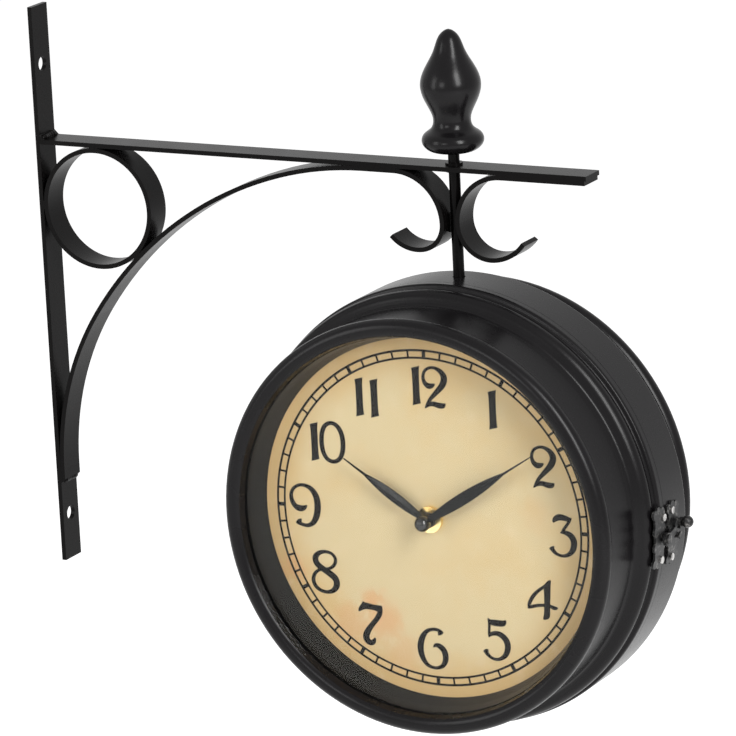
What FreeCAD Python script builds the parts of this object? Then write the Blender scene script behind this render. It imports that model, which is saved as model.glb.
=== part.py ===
"""Double sided station clock on a scrolled wall bracket.

Millimetres, +Z up.  The origin is midway between the two wall screw holes, on the
back face of the wall strip.  The wall plane is X = 0 and the bracket arm runs along
+X.  One dial faces -Y (front) and the other faces +Y (rear).

The case is two halves that meet at a seam.  Each half is drawn in its own clock
frame: the dial axis is the Y axis, the seam is Y = 0, the viewer stands at -Y and
a height "a" is measured from the seam towards the viewer.
"""
import os
import FreeCAD, Part
from math import acos, asin, atan2, cos, degrees, radians, sin, sqrt, tan
from FreeCAD import Vector

# ---------------------------------------------------------------- bracket sizes
FLAT_WIDTH = 16.0            # every flat bar of the bracket, across (Y)
STRIP_THICK = 2.5
STRIP_TOP = 157.0
STRIP_BOTTOM = -150.0
SCREW_SPACING = 250.0        # between the two wall screws
SCREW_HOLE_R = 4.0
ARM_THICK = 2.5
ARM_TOP = 85.0
ARM_END = 326.0
RING_THICK = 2.5
WELD_GAP = 0.3               # gap that a weld seam fills
WELD_R = 2.4
BRACE_THICK = 2.5
BRACE_FOOT = 6.0             # flat foot on the strip
BRACE_ARCS = ((157.0, 34.6), (211.0, 39.5), (181.5, 15.9))
CURL_IN_R = 27.2             # first quarter turn down to the rod
BRACE_CURL = ((14.0, 80.0), (20.0, 58.0))
END_SCROLL_CURL = ((18.5, 95.0), (24.0, 48.0))
END_SCROLL_IN_R = 25.5
END_SCROLL_SET_BACK = 1.0    # from the arm's free end
TACK_R = 1.7                 # tack welds between the scrolls and the rod
TACK_LONG = 10.0

# ---------------------------------------------------------------- rod and finial
ROD_X = 247.0
ROD_R = 3.0
ROD_ABOVE_ARM = 29.0
ROD_HOLE_CLEAR = 0.2
THREAD_CLEAR = 0.02          # radial, between a thread and its nut or hub
ROD_WELD_R = 4.6
ROD_WELD_H = 1.2
FINIAL_FLANGE = ((9.0, 7.3), (14.3, 9.3), (16.2, 12.7), (15.3, 15.9))    # radius, above arm
FINIAL_NECK = ((11.0, 19.6), (9.8, 23.6), (11.4, 29.2))
FINIAL_BULB = ((14.6, 36.0), (15.8, 42.5), (13.8, 49.7))
FINIAL_TAPER = ((8.2, 60.1), (4.5, 68.4), (1.6, 70.7))
FINIAL_TIP_Z = 71.2
FINIAL_BORE_SPARE = 1.0

# ---------------------------------------------------------------- case sizes
CASE_DROP = 59.8             # from the arm's top down to the band's top
ROD_BEHIND_SEAM = 13.0       # the rod stands in the rear half
SEAM_GAP = 0.3
BAND_R = 118.7
BAND_ROUND = 1.6
SHEET = 1.5
GROOVE_DEEP = 3.7
RIDGE_R = 3.5
RIDGE_SET_IN = 2.0           # the ridge's top is this far inside the band
RIDGE_A = 12.2
FLANK_ANGLE = 75.0           # where the ridge's roll runs straight down to the neck
FLANK_LONG = 2.43
NECK_FILLET_R = 3.0
NECK_TAPER = 5.8             # degrees
NECK_BEHIND_BEAD = 4.0       # the neck's mouth, behind the bead's middle
REAR_BAND = 27.0             # the rear half's plain band, behind the seam
REAR_SHOULDER_R = 2.0        # its rounded back edge
LIP_LONG = 3.0               # rear half's lip that the front half closes over
LIP_CLEAR = 0.3
BEAD_R = 5.0
BEAD_SET_IN = 1.0            # the bead's middle, inside the neck's mouth
BEAD_A = 48.0
SKIRT_CLEAR = 0.2
SKIRT_THICK = 2.5            # wall of the bore that holds glass, rings and dial
STACK_CLEAR = 0.1
CRIMP_IN = 3.0               # inside the recess's mouth
CRIMP_THICK = 1.2

# ---------------------------------------------------------------- dial and glass
DIAL_A = 30.7
DIAL_THICK = 0.8
RECESS_DIAL_IN = 5.4         # conical recess: inside its mouth, at the dial and at its joint
RECESS_JOINT_LIFT = 8.0      # in front of the dial
RECESS_JOINT_IN = 3.0
RECESS_LIP_IN = 4.0          # the mouth, inside the bead's middle
GLASS_BEHIND_BEAD = 3.0
GLASS_THICK = 2.0
LEDGE_IN = 1.0

# ---------------------------------------------------------------- movement
MOVEMENT_SIDE = 56.0
MOVEMENT_DEEP = 15.5
MOVEMENT_ROUND = 4.0
PAD_THICK = 0.8              # rubber washer between movement and dial
PAD_R = 8.0
STEM_R = 4.0
STEM_PROUD = 3.0             # threaded stem in front of the dial
STEM_CLEAR = 0.2
NUT_R = 7.0
NUT_THICK = 2.4
HOUR_TUBE_R = 2.5
MINUTE_SHAFT_R = 1.6
RUNNING_CLEAR = 0.05
HOUR_TUBE_BEHIND = 6.7       # behind the dial's face
SHAFT_BEHIND = 11.7
HOUR_TUBE_PROUD = 0.6        # in front of its hand
SHAFT_PROUD = 1.4
BATTERY_R = 7.25
BATTERY_LONG = 50.5
BATTERY_Z = -17.9
BATTERY_CLEAR = 0.3
BATTERY_TIP_R = 2.6
BATTERY_TIP_LONG = 1.2
BAY_FLOOR = 0.8
KNOB_R = 7.0
KNOB_THICK = 3.0
KNOB_X = 12.0
KNOB_Z = 13.0
KNOB_JOURNAL_R = 1.5
KNOB_JOURNAL_LONG = 5.0
KNOB_GAP = 0.3
KNOB_FLUTES = 16
KNOB_FLUTE_R = 0.7

# ---------------------------------------------------------------- hands
HAND_THICK = 0.6
HOUR_HAND_LIFT = 4.9         # in front of the dial's face
MINUTE_HAND_LIFT = 7.7
HOUR_LENGTH = 55.5
MINUTE_LENGTH = 75.5
HOUR_LEAF = 5.8
MINUTE_LEAF = 6.4
HAND_NECK = 2.6
HAND_NEEDLE = 1.3
HAND_TIP = 0.5
LEAF_WIDEST_AT = 0.38        # share of the hand's length
NEEDLE_FROM = 0.74
HAND_NECK_AT = 0.8           # share of the hub's radius
HOUR_HUB_R = 4.0
MINUTE_HUB_R = 3.8
HOUR_ANGLE = 302.4           # clockwise from 12, as seen by the viewer
MINUTE_ANGLE = 57.0
CAP_R = 3.4
CAP_COLLAR_R = 2.7
CAP_LIFT = 2.5               # ball's centre in front of the minute hand's back
CAP_BORE_SPARE = 0.2

# ---------------------------------------------------------------- hanger in the case
HANGER_HALF_X = 20.0
HANGER_BACK_A = 9.5
HANGER_BEHIND = 3.7          # behind the dial's face
HANGER_FLOOR_DROP = 15.7     # below the band's top
WASHER_R = 9.0
WASHER_THICK = 1.2
HEX_FLATS = 10.0
HEX_THICK = 5.0
ROD_BELOW_NUT = 2.0

# ---------------------------------------------------------------- hinge at 9 o'clock
HINGE_OUT = 3.5              # pin centre outside the band
HINGE_HALF_Z = 12.0
HINGE_LEAF_THICK = 1.5
HINGE_LEAF_A = 8.0
KNUCKLE_R = 2.6
KNUCKLE_HALF_Z = 4.0         # the door's middle knuckle
KNUCKLE_END_GAP = 0.3
KNUCKLE_SIDE_GAP = 0.4
PIN_R = 1.2
PIN_HEAD_R = 2.2
PIN_HEAD_LONG = 1.2

# ---------------------------------------------------------------- latch at 3 o'clock
PLATE_THICK = 1.2
PLATE_PROUD = 0.2            # plate's back above the band
LATCH_PIVOT_A = 4.4
LATCH_PIVOT_Z = -6.9
LATCH_PIN_R = 1.5
LATCH_PIN_HEAD_R = 2.6
LATCH_PIN_HEAD_THICK = 0.8
HOOK_OUT = 2.3               # hook's inner face outside the band
HOOK_THICK = 1.8
HOOK_REACH = 13.0            # pivot to keeper stud
HOOK_TAIL = 6.3
HOOK_HALF_WIDTH = 2.0
HOOK_EYE_R = 3.4
HOOK_BOSS_RISE = 1.6         # the boss over the notch stands above the arm's middle
HOOK_REST_ANGLE = 14.0       # slope of the arm at rest, upwards to its knob
HOOK_DROP = 20.0             # swing from rest down onto the stud
STUD_R = 1.5
STUD_HEAD_R = 2.1
STUD_CLEAR = 0.3
BALL_R = 3.2
BALL_STEM_R = 1.5
BALL_OUT = 2.4               # ball centre above the hook
BALL_INSET = 0.5             # from the arm's end
FRONT_PLATE_A = (1.7, 15.1)
FRONT_PLATE_Z = (-21.0, 10.0)
KEEPER_PLATE_A = (1.3, 15.3)
KEEPER_PLATE_Z = (-23.0, 9.0)
PLATE_LOBE_R = 2.6
PLATE_LOBES = 4              # down each side
PLATE_CORE_INSET = 1.4
PLATE_TIP_INSET = 1.6
SCREW_HEAD_R = 1.9
SCREW_HEAD_H = 0.9
SCREW_SHANK_R = 0.9
FRONT_SCREWS = ((4.0, 4.5), (6.4, -17.6))
KEEPER_SCREWS = ((6.5, 5.5), (6.5, -19.5))
TOOL_REACH = 10.0            # cutting shapes run this far outside the band

# ================================================================ helpers
def on_circle(centre, radius, angle):
    """Point (u, v) on a circle, the angle counted from +u towards +v."""
    u = centre[0] + radius * cos(radians(angle))
    v = centre[1] + radius * sin(radians(angle))
    return u, v


STRIP_FRONT = STRIP_THICK
ARM_UNDER = ARM_TOP - ARM_THICK
SEAM_Y = -ROD_BEHIND_SEAM
ORIGIN = Vector(0, 0, 0)
DIAL_AXIS = Vector(0, 1, 0)
UP = Vector(0, 0, 1)

GROOVE_R = BAND_R - GROOVE_DEEP
RIDGE = (BAND_R - RIDGE_SET_IN - RIDGE_R, RIDGE_A)
BAND_HALF = RIDGE_A - sqrt(RIDGE_R ** 2 - (GROOVE_R - RIDGE[0]) ** 2)
FLANK = on_circle(RIDGE, RIDGE_R, FLANK_ANGLE)
FLANK_END = on_circle(FLANK, FLANK_LONG, FLANK_ANGLE + 90)
NECK_FILLET = on_circle(FLANK_END, NECK_FILLET_R, FLANK_ANGLE)
NECK_BACK_R, NECK_BACK_A = on_circle(NECK_FILLET, NECK_FILLET_R, 180 + NECK_TAPER)
NECK_FRONT_A = BEAD_A - NECK_BEHIND_BEAD
NECK_FRONT_R = NECK_BACK_R - tan(radians(NECK_TAPER)) * (NECK_FRONT_A - NECK_BACK_A)
CASE_Z = ARM_TOP - CASE_DROP - BAND_R
BEAD_CENTRE_R = NECK_FRONT_R - BEAD_SET_IN
STACK_R = NECK_FRONT_R - SHEET - SKIRT_CLEAR - SKIRT_THICK
RECESS_MOUTH_R = BEAD_CENTRE_R - RECESS_LIP_IN
RECESS_JOINT_R = RECESS_MOUTH_R - RECESS_JOINT_IN
RECESS_DIAL_R = RECESS_MOUTH_R - RECESS_DIAL_IN
RECESS_JOINT_A = DIAL_A + RECESS_JOINT_LIFT
LEDGE_R = RECESS_MOUTH_R - LEDGE_IN
CRIMP_R = RECESS_MOUTH_R - CRIMP_IN
GLASS_BACK_A = BEAD_A - GLASS_BEHIND_BEAD
HOUR_TUBE_BACK_A = DIAL_A - HOUR_TUBE_BEHIND
SHAFT_BACK_A = DIAL_A - SHAFT_BEHIND
HOUR_HAND_A = DIAL_A + HOUR_HAND_LIFT
MINUTE_HAND_A = DIAL_A + MINUTE_HAND_LIFT
CAP_A = MINUTE_HAND_A + CAP_LIFT
HANGER_A = (HANGER_BACK_A, DIAL_A - HANGER_BEHIND)
HANGER_FLOOR_Z = BAND_R - HANGER_FLOOR_DROP
HOOK_X = BAND_R + HOOK_OUT


def outline(to_space, start, *pieces):
    """Closed wire.  A piece is a point (line to it) or (middle, end) of an arc."""
    edges = []
    here = to_space(start)
    for piece in pieces + (start,):
        if isinstance(piece[0], tuple):
            middle = to_space(piece[0])
            there = to_space(piece[1])
            edges.append(Part.Arc(here, middle, there).toShape())
        else:
            there = to_space(piece)
            if here.distanceToPoint(there) < 1e-7:
                continue
            edges.append(Part.LineSegment(here, there).toShape())
        here = there
    return Part.Wire(edges)


def ring_solid(start, *pieces):
    """Solid of revolution about the dial axis from points (radius, a)."""
    def to_space(point):
        return Vector(point[0], -point[1], 0)
    face = Part.Face(outline(to_space, start, *pieces))
    return face.revolve(ORIGIN, DIAL_AXIS, 360)


def disc(radius, a_low, a_high, x=0.0, z=0.0):
    """Round piece along the dial axis between two heights above the seam."""
    base = Vector(x, -a_low, z)
    return Part.makeCylinder(radius, a_high - a_low, base, Vector(0, -1, 0))


def block(x, y, z):
    """Box from three (low, high) pairs."""
    size = [high - low for low, high in (x, y, z)]
    return Part.makeBox(size[0], size[1], size[2], Vector(x[0], y[0], z[0]))


def flat_bar(start, heading, thick, path, hand=1):
    """Flat bar of the bracket, bent in the XZ plane.

    The path lists straight runs ("line", length) and bends ("arc", radius, degrees),
    which turn right for hand 1 and left for hand -1.
    """
    def side(point, direction, offset):
        return on_circle(point, offset, direction + 90)

    here = start
    left = [side(start, heading, thick / 2)]
    right = [side(start, heading, -thick / 2)]
    for step in path:
        if step[0] == "line":
            here = on_circle(here, step[1], heading)
            left.append(side(here, heading, thick / 2))
            right.append(side(here, heading, -thick / 2))
            continue
        radius = step[1]
        turn = step[2] * hand
        centre = on_circle(here, radius, heading - 90 * hand)
        middle = on_circle(centre, radius, heading + 90 * hand - turn / 2)
        here = on_circle(centre, radius, heading + 90 * hand - turn)
        half_way = heading - turn / 2
        heading -= turn
        left.append((side(middle, half_way, thick / 2), side(here, heading, thick / 2)))
        right.append((side(middle, half_way, -thick / 2), side(here, heading, -thick / 2)))
    wire = outline(lambda p: Vector(p[0], 0, p[1]), *left, *walked_back(right))
    face = Part.Face(wire)
    face.translate(Vector(0, -FLAT_WIDTH / 2, 0))
    return face.extrude(Vector(0, FLAT_WIDTH, 0))


def walked_back(pieces):
    """The same side walked backwards, from its last end to its first point."""
    ends = [piece[1] if isinstance(piece[0], tuple) else piece for piece in pieces]
    back = [ends[-1]]
    for piece, end in zip(reversed(pieces[1:]), reversed(ends[:-1])):
        back.append((piece[0], end) if isinstance(piece[0], tuple) else end)
    return back


def across(radius, x, z):
    """Round bar across the full width of the flat bars."""
    base = Vector(x, -FLAT_WIDTH / 2, z)
    return Part.makeCylinder(radius, FLAT_WIDTH, base, Vector(0, 1, 0))


def corner_bead(x, z, run_x, run_z):
    """Fillet weld: a triangle in a square corner, across the flat bars."""
    y = -FLAT_WIDTH / 2
    corner = Vector(x, y, z)
    wire = Part.makePolygon([corner, corner + Vector(run_x, 0, 0),
                             corner + Vector(0, 0, run_z), corner])
    return Part.Face(wire).extrude(Vector(0, FLAT_WIDTH, 0))


# ================================================================ bracket
def wall_strip():
    half = FLAT_WIDTH / 2
    strip = block((0, STRIP_THICK), (-half, half), (STRIP_BOTTOM, STRIP_TOP))
    for z in (-SCREW_SPACING / 2, SCREW_SPACING / 2):
        hole = Part.makeCylinder(SCREW_HOLE_R, STRIP_THICK, Vector(0, 0, z), Vector(1, 0, 0))
        strip = strip.cut(hole)
    return strip


def arm_bar():
    half = FLAT_WIDTH / 2
    arm = block((STRIP_FRONT, ARM_END), (-half, half), (ARM_UNDER, ARM_TOP))
    hole = Part.makeCylinder(ROD_R + ROD_HOLE_CLEAR, ARM_THICK, Vector(ROD_X, 0, ARM_UNDER), UP)
    return arm.cut(hole)


def brace_height():
    """Rise of the brace's three arcs."""
    rise = 0.0
    heading = 90.0
    for radius, turn in BRACE_ARCS:
        rise += radius * (cos(radians(heading - turn)) - cos(radians(heading)))
        heading -= turn
    return rise


BRACE_FOOT_Z = ARM_UNDER - BRACE_THICK / 2 - brace_height() - BRACE_FOOT


def long_arc_centre():
    """Centre of the brace's long middle arc, which the ring rests on."""
    first_r, first_turn = BRACE_ARCS[0]
    first = (STRIP_FRONT + BRACE_THICK / 2 + first_r, BRACE_FOOT_Z + BRACE_FOOT)
    return on_circle(first, first_r - BRACE_ARCS[1][0], 180 - first_turn)


def ring_radius():
    """Outer radius of the ring that stands a weld gap from the strip, the arm and the brace."""
    centre_x, centre_z = long_arc_centre()
    across_x = centre_x - STRIP_FRONT - WELD_GAP
    down_z = ARM_UNDER - WELD_GAP - centre_z
    arc_r = BRACE_ARCS[1][0] + BRACE_THICK / 2 + WELD_GAP
    total = across_x + down_z + arc_r
    return total - sqrt(total ** 2 - across_x ** 2 - down_z ** 2 + arc_r ** 2)


RING_OUTER_R = ring_radius()
RING_X = STRIP_FRONT + WELD_GAP + RING_OUTER_R
RING_Z = ARM_UNDER - WELD_GAP - RING_OUTER_R


def corner_ring():
    outer = across(RING_OUTER_R, RING_X, RING_Z)
    return outer.cut(across(RING_OUTER_R - RING_THICK, RING_X, RING_Z))


def brace_scroll():
    """Brace from the strip, under the arm, down beside the rod and curled back."""
    foot_x = STRIP_FRONT + BRACE_THICK / 2
    path = [("line", BRACE_FOOT)]
    path += [("arc", radius, turn) for radius, turn in BRACE_ARCS]
    path += [("line", brace_run()), ("arc", CURL_IN_R, 90.0)]
    path += [("arc", radius, turn) for radius, turn in BRACE_CURL]
    return flat_bar((foot_x, BRACE_FOOT_Z), 90.0, BRACE_THICK, path)


def brace_run():
    """Flat run under the arm that brings the curl up to the rod."""
    reach = STRIP_FRONT + BRACE_THICK / 2
    heading = 90.0
    for radius, turn in BRACE_ARCS:
        reach += radius * (sin(radians(heading)) - sin(radians(heading - turn)))
        heading -= turn
    curl_x = ROD_X - ROD_R - WELD_GAP - BRACE_THICK / 2
    return curl_x - CURL_IN_R - reach


def end_scroll():
    """Flat scroll under the arm's free end, curled down beside the rod."""
    curl_x = ROD_X + ROD_R + WELD_GAP + BRACE_THICK / 2
    start_x = ARM_END - END_SCROLL_SET_BACK
    run = start_x - (curl_x + END_SCROLL_IN_R)
    path = [("line", run), ("arc", END_SCROLL_IN_R, 90.0)]
    path += [("arc", radius, turn) for radius, turn in END_SCROLL_CURL]
    return flat_bar((start_x, ARM_UNDER - BRACE_THICK / 2), 180.0, BRACE_THICK, path, hand=-1)


def weld_beads(strip, arm, ring, brace, scroll, rod):
    """Weld seams: in the three gaps of the ring, at the bars' ends and round the rod."""
    centre_x, centre_z = long_arc_centre()
    to_brace = degrees(atan2(centre_z - RING_Z, centre_x - RING_X))
    brace_side = on_circle((RING_X, RING_Z), RING_OUTER_R + WELD_GAP / 2, to_brace)
    seams = [across(WELD_R, STRIP_FRONT + WELD_GAP / 2, RING_Z).cut(strip).cut(ring)]
    seams.append(across(WELD_R, RING_X, ARM_UNDER - WELD_GAP / 2).cut(arm).cut(ring))
    seams.append(across(WELD_R, *brace_side).cut(brace).cut(ring))
    bead = STRIP_THICK
    seams.append(corner_bead(STRIP_FRONT, ARM_TOP, bead, bead))
    seams.append(corner_bead(STRIP_FRONT, BRACE_FOOT_Z, bead, -bead))
    for bottom in (ARM_UNDER - ROD_WELD_H, ARM_TOP):
        collar = Part.makeCylinder(ROD_WELD_R, ROD_WELD_H, Vector(ROD_X, 0, bottom), UP)
        seams.append(collar.cut(rod))
    for side, bar, radius in ((-1, brace, CURL_IN_R), (1, scroll, END_SCROLL_IN_R)):
        x = ROD_X + side * (ROD_R + WELD_GAP / 2)
        z = ARM_UNDER - BRACE_THICK / 2 - radius
        tack = Part.makeCylinder(TACK_R, TACK_LONG, Vector(x, 0, z - TACK_LONG / 2), UP)
        tack = tack.cut(rod).cut(bar)
        seams.append(Part.makeCompound([s for s in tack.Solids if abs(s.CenterOfMass.x - x) < WELD_GAP]))
    return Part.makeCompound([piece for seam in seams for piece in seam.Solids])


NUT_TOP = CASE_Z + HANGER_FLOOR_Z - WASHER_THICK
ROD_BOTTOM = NUT_TOP - HEX_THICK - ROD_BELOW_NUT


def hanger_rod():
    top = ARM_TOP + ROD_ABOVE_ARM
    return Part.makeCylinder(ROD_R, top - ROD_BOTTOM, Vector(ROD_X, 0, ROD_BOTTOM), UP)


def finial():
    """Turned finial: a round flange, a neck and a pointed bulb."""
    profile = FINIAL_FLANGE + FINIAL_NECK + FINIAL_BULB + FINIAL_TAPER
    points = [Vector(radius, 0, ARM_TOP + z) for radius, z in profile]
    curve = Part.BSplineCurve()
    curve.interpolate(points)
    base = Vector(0, 0, points[0].z)
    tip = Vector(0, 0, ARM_TOP + FINIAL_TIP_Z)
    edges = [Part.LineSegment(base, points[0]).toShape(), curve.toShape(),
             Part.LineSegment(points[-1], tip).toShape(), Part.LineSegment(tip, base).toShape()]
    body = Part.Face(Part.Wire(edges)).revolve(ORIGIN, UP, 360)
    depth = ARM_TOP + ROD_ABOVE_ARM + FINIAL_BORE_SPARE - base.z
    body = body.cut(Part.makeCylinder(ROD_R + THREAD_CLEAR, depth, base, UP))
    body.translate(Vector(ROD_X, 0, 0))
    return body


def rod_washer():
    base = Vector(ROD_X, 0, NUT_TOP)
    washer = Part.makeCylinder(WASHER_R, WASHER_THICK, base, UP)
    return washer.cut(Part.makeCylinder(ROD_R + ROD_HOLE_CLEAR, WASHER_THICK, base, UP))


def rod_nut():
    corner = HEX_FLATS / sqrt(3)
    low = NUT_TOP - HEX_THICK
    corners = [on_circle((ROD_X, 0), corner, 60 * k) for k in range(7)]
    wire = Part.makePolygon([Vector(x, y, low) for x, y in corners])
    nut = Part.Face(wire).extrude(Vector(0, 0, HEX_THICK))
    return nut.cut(Part.makeCylinder(ROD_R + THREAD_CLEAR, HEX_THICK, Vector(ROD_X, 0, low), UP))


# ================================================================ case halves
def neck_radius(a):
    """Outside of the tapering neck at a height above the seam."""
    return NECK_FRONT_R + tan(radians(NECK_TAPER)) * (NECK_FRONT_A - a)


def front_shell():
    """Front half drum: band, groove, rolled ridge and tapering neck, one sheet thick."""
    seam = SEAM_GAP / 2
    inner_band = BAND_R - SHEET
    inner_ridge = GROOVE_R - SHEET
    shoulder = (BAND_R - BAND_ROUND, BAND_HALF - BAND_ROUND)
    groove_angle = -degrees(acos((GROOVE_R - RIDGE[0]) / RIDGE_R))
    over_ridge = on_circle(RIDGE, RIDGE_R, (groove_angle + FLANK_ANGLE) / 2)
    fillet_middle = on_circle(NECK_FILLET, NECK_FILLET_R, 180 + (FLANK_ANGLE + NECK_TAPER) / 2)
    pieces = [(BAND_R, shoulder[1]),
              (on_circle(shoulder, BAND_ROUND, 45.0), (shoulder[0], BAND_HALF)),
              (GROOVE_R, BAND_HALF),
              (over_ridge, FLANK),
              FLANK_END,
              (fillet_middle, (NECK_BACK_R, NECK_BACK_A)),
              (NECK_FRONT_R, NECK_FRONT_A),
              (NECK_FRONT_R - SHEET, NECK_FRONT_A),
              (NECK_BACK_R - SHEET, NECK_BACK_A),
              (inner_ridge - SHEET, RIDGE_A + RIDGE_R / 2),
              (inner_ridge, RIDGE_A - RIDGE_R / 5),
              (inner_ridge, BAND_HALF - SHEET),
              (inner_band, BAND_HALF - SHEET),
              (inner_band, seam)]
    return ring_solid((BAND_R, seam), *pieces)


def rear_inner_line(gap=0.0):
    """Inside of the rear sheet, from the neck's mouth back to the band, a gap further in."""
    wall_a = REAR_BAND - SHEET - gap
    in_by = SHEET + gap
    return [(NECK_FRONT_R - in_by, NECK_FRONT_A), (neck_radius(wall_a) - in_by, wall_a),
            (BAND_R - in_by, wall_a)]


def rear_shell():
    """Rear half drum: wide plain band with the lip, flat wall and tapering neck."""
    seam = SEAM_GAP / 2
    lip_r = BAND_R - SHEET - LIP_CLEAR
    shoulder = (BAND_R - REAR_SHOULDER_R, REAR_BAND - REAR_SHOULDER_R)
    fillet = (neck_radius(REAR_BAND) + NECK_FILLET_R, REAR_BAND + NECK_FILLET_R)
    fillet_end = on_circle(fillet, NECK_FILLET_R, 180 + NECK_TAPER)
    fillet_middle = on_circle(fillet, NECK_FILLET_R, 225 + NECK_TAPER / 2)
    pieces = [(BAND_R, shoulder[1]),
              (on_circle(shoulder, REAR_SHOULDER_R, 45.0), (shoulder[0], REAR_BAND)),
              (fillet[0], REAR_BAND),
              (fillet_middle, fillet_end),
              (NECK_FRONT_R, NECK_FRONT_A)]
    pieces += rear_inner_line()
    pieces += [(BAND_R - SHEET, LIP_LONG), (lip_r - SHEET, LIP_LONG), (lip_r - SHEET, -LIP_LONG),
               (lip_r, -LIP_LONG), (lip_r, seam)]
    return ring_solid((BAND_R, seam), *pieces)


def bezel():
    """Round bead, conical mouth and a skirt that holds the glass and the dial."""
    bead = (BEAD_CENTRE_R, BEAD_A)
    lip_angle = 180 - degrees(acos((BEAD_CENTRE_R - RECESS_MOUTH_R) / BEAD_R))
    back_angle = -degrees(asin((BEAD_A - NECK_FRONT_A) / BEAD_R))
    lip = on_circle(bead, BEAD_R, lip_angle)
    shoulder = on_circle(bead, BEAD_R, back_angle)
    over_bead = on_circle(bead, BEAD_R, (lip_angle + back_angle) / 2)
    skirt_r = NECK_FRONT_R - SHEET - SKIRT_CLEAR
    crimp_a = DIAL_A - DIAL_THICK
    return ring_solid(lip, (over_bead, shoulder), (skirt_r, NECK_FRONT_A),
                      (skirt_r, crimp_a - CRIMP_THICK), (CRIMP_R, crimp_a - CRIMP_THICK),
                      (CRIMP_R, crimp_a), (STACK_R, crimp_a),
                      (STACK_R, GLASS_BACK_A + GLASS_THICK), (LEDGE_R, GLASS_BACK_A + GLASS_THICK))


def recess_radius(a):
    """Radius of the conical recess at a height above the seam."""
    slope = (LEDGE_R - RECESS_JOINT_R) / (GLASS_BACK_A + GLASS_THICK - RECESS_JOINT_A)
    return RECESS_JOINT_R + slope * (a - RECESS_JOINT_A)


STACK_PIECE_R = STACK_R - STACK_CLEAR


def glass_ring():
    return ring_solid((RECESS_JOINT_R, RECESS_JOINT_A), (STACK_PIECE_R, RECESS_JOINT_A),
                      (STACK_PIECE_R, GLASS_BACK_A), (recess_radius(GLASS_BACK_A), GLASS_BACK_A))


def dial_surround():
    return ring_solid((RECESS_DIAL_R, DIAL_A), (STACK_PIECE_R, DIAL_A),
                      (STACK_PIECE_R, RECESS_JOINT_A), (RECESS_JOINT_R, RECESS_JOINT_A))


def glass():
    return disc(STACK_PIECE_R, GLASS_BACK_A, GLASS_BACK_A + GLASS_THICK)


def dial():
    plate = disc(STACK_PIECE_R, DIAL_A - DIAL_THICK, DIAL_A)
    return plate.cut(disc(STEM_R + STEM_CLEAR, DIAL_A - DIAL_THICK, DIAL_A))


PAD_A = DIAL_A - DIAL_THICK - PAD_THICK
MOVEMENT_BACK_A = PAD_A - MOVEMENT_DEEP


def dial_pad():
    pad = disc(PAD_R, PAD_A, PAD_A + PAD_THICK)
    return pad.cut(disc(STEM_R + STEM_CLEAR, PAD_A, PAD_A + PAD_THICK))


def dial_nut():
    nut = disc(NUT_R, DIAL_A, DIAL_A + NUT_THICK)
    return nut.cut(disc(STEM_R + THREAD_CLEAR, DIAL_A, DIAL_A + NUT_THICK))


def movement():
    """Quartz movement: rounded box, battery bay at its back, stem through the dial."""
    half = MOVEMENT_SIDE / 2
    box = block((-half, half), (-PAD_A, -MOVEMENT_BACK_A), (-half, half))
    corners = [edge for edge in box.Edges if abs(edge.tangentAt(edge.FirstParameter).y) > 0.9]
    body = box.makeFillet(MOVEMENT_ROUND, corners)
    body = body.fuse(disc(STEM_R, PAD_A, DIAL_A + STEM_PROUD)).removeSplitter()
    stem_top = DIAL_A + STEM_PROUD
    body = body.cut(disc(HOUR_TUBE_R + RUNNING_CLEAR, HOUR_TUBE_BACK_A, stem_top))
    body = body.cut(disc(MINUTE_SHAFT_R + RUNNING_CLEAR, SHAFT_BACK_A, HOUR_TUBE_BACK_A))
    bay_x = BATTERY_LONG / 2 + BATTERY_CLEAR
    bay_z = BATTERY_R + BATTERY_CLEAR
    bay = block((-bay_x, bay_x), (-(PAD_A - BAY_FLOOR), -MOVEMENT_BACK_A),
                (BATTERY_Z - bay_z, BATTERY_Z + bay_z))
    body = body.cut(bay)
    journal = disc(KNOB_JOURNAL_R + RUNNING_CLEAR, MOVEMENT_BACK_A,
                   MOVEMENT_BACK_A + KNOB_JOURNAL_LONG + KNOB_GAP, KNOB_X, KNOB_Z)
    return body.cut(journal)


def battery():
    """AA cell lying on the floor of its bay, with its raised end."""
    middle_a = PAD_A - BAY_FLOOR - BATTERY_R
    along = Vector(1, 0, 0)
    start = Vector(-BATTERY_LONG / 2, -middle_a, BATTERY_Z)
    can_long = BATTERY_LONG - BATTERY_TIP_LONG
    can = Part.makeCylinder(BATTERY_R, can_long, start, along)
    tip = Part.makeCylinder(BATTERY_TIP_R, BATTERY_TIP_LONG, start + along * can_long, along)
    return can.fuse(tip)


def set_knob():
    """Fluted thumb wheel at the back of the movement, on its journal."""
    top = MOVEMENT_BACK_A - KNOB_GAP
    wheel = disc(KNOB_R, top - KNOB_THICK, top, KNOB_X, KNOB_Z)
    for k in range(KNOB_FLUTES):
        x, z = on_circle((KNOB_X, KNOB_Z), KNOB_R, 360.0 * k / KNOB_FLUTES)
        wheel = wheel.cut(disc(KNOB_FLUTE_R, top - KNOB_THICK, top, x, z))
    return wheel.fuse(disc(KNOB_JOURNAL_R, top, top + KNOB_JOURNAL_LONG, KNOB_X, KNOB_Z))


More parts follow.
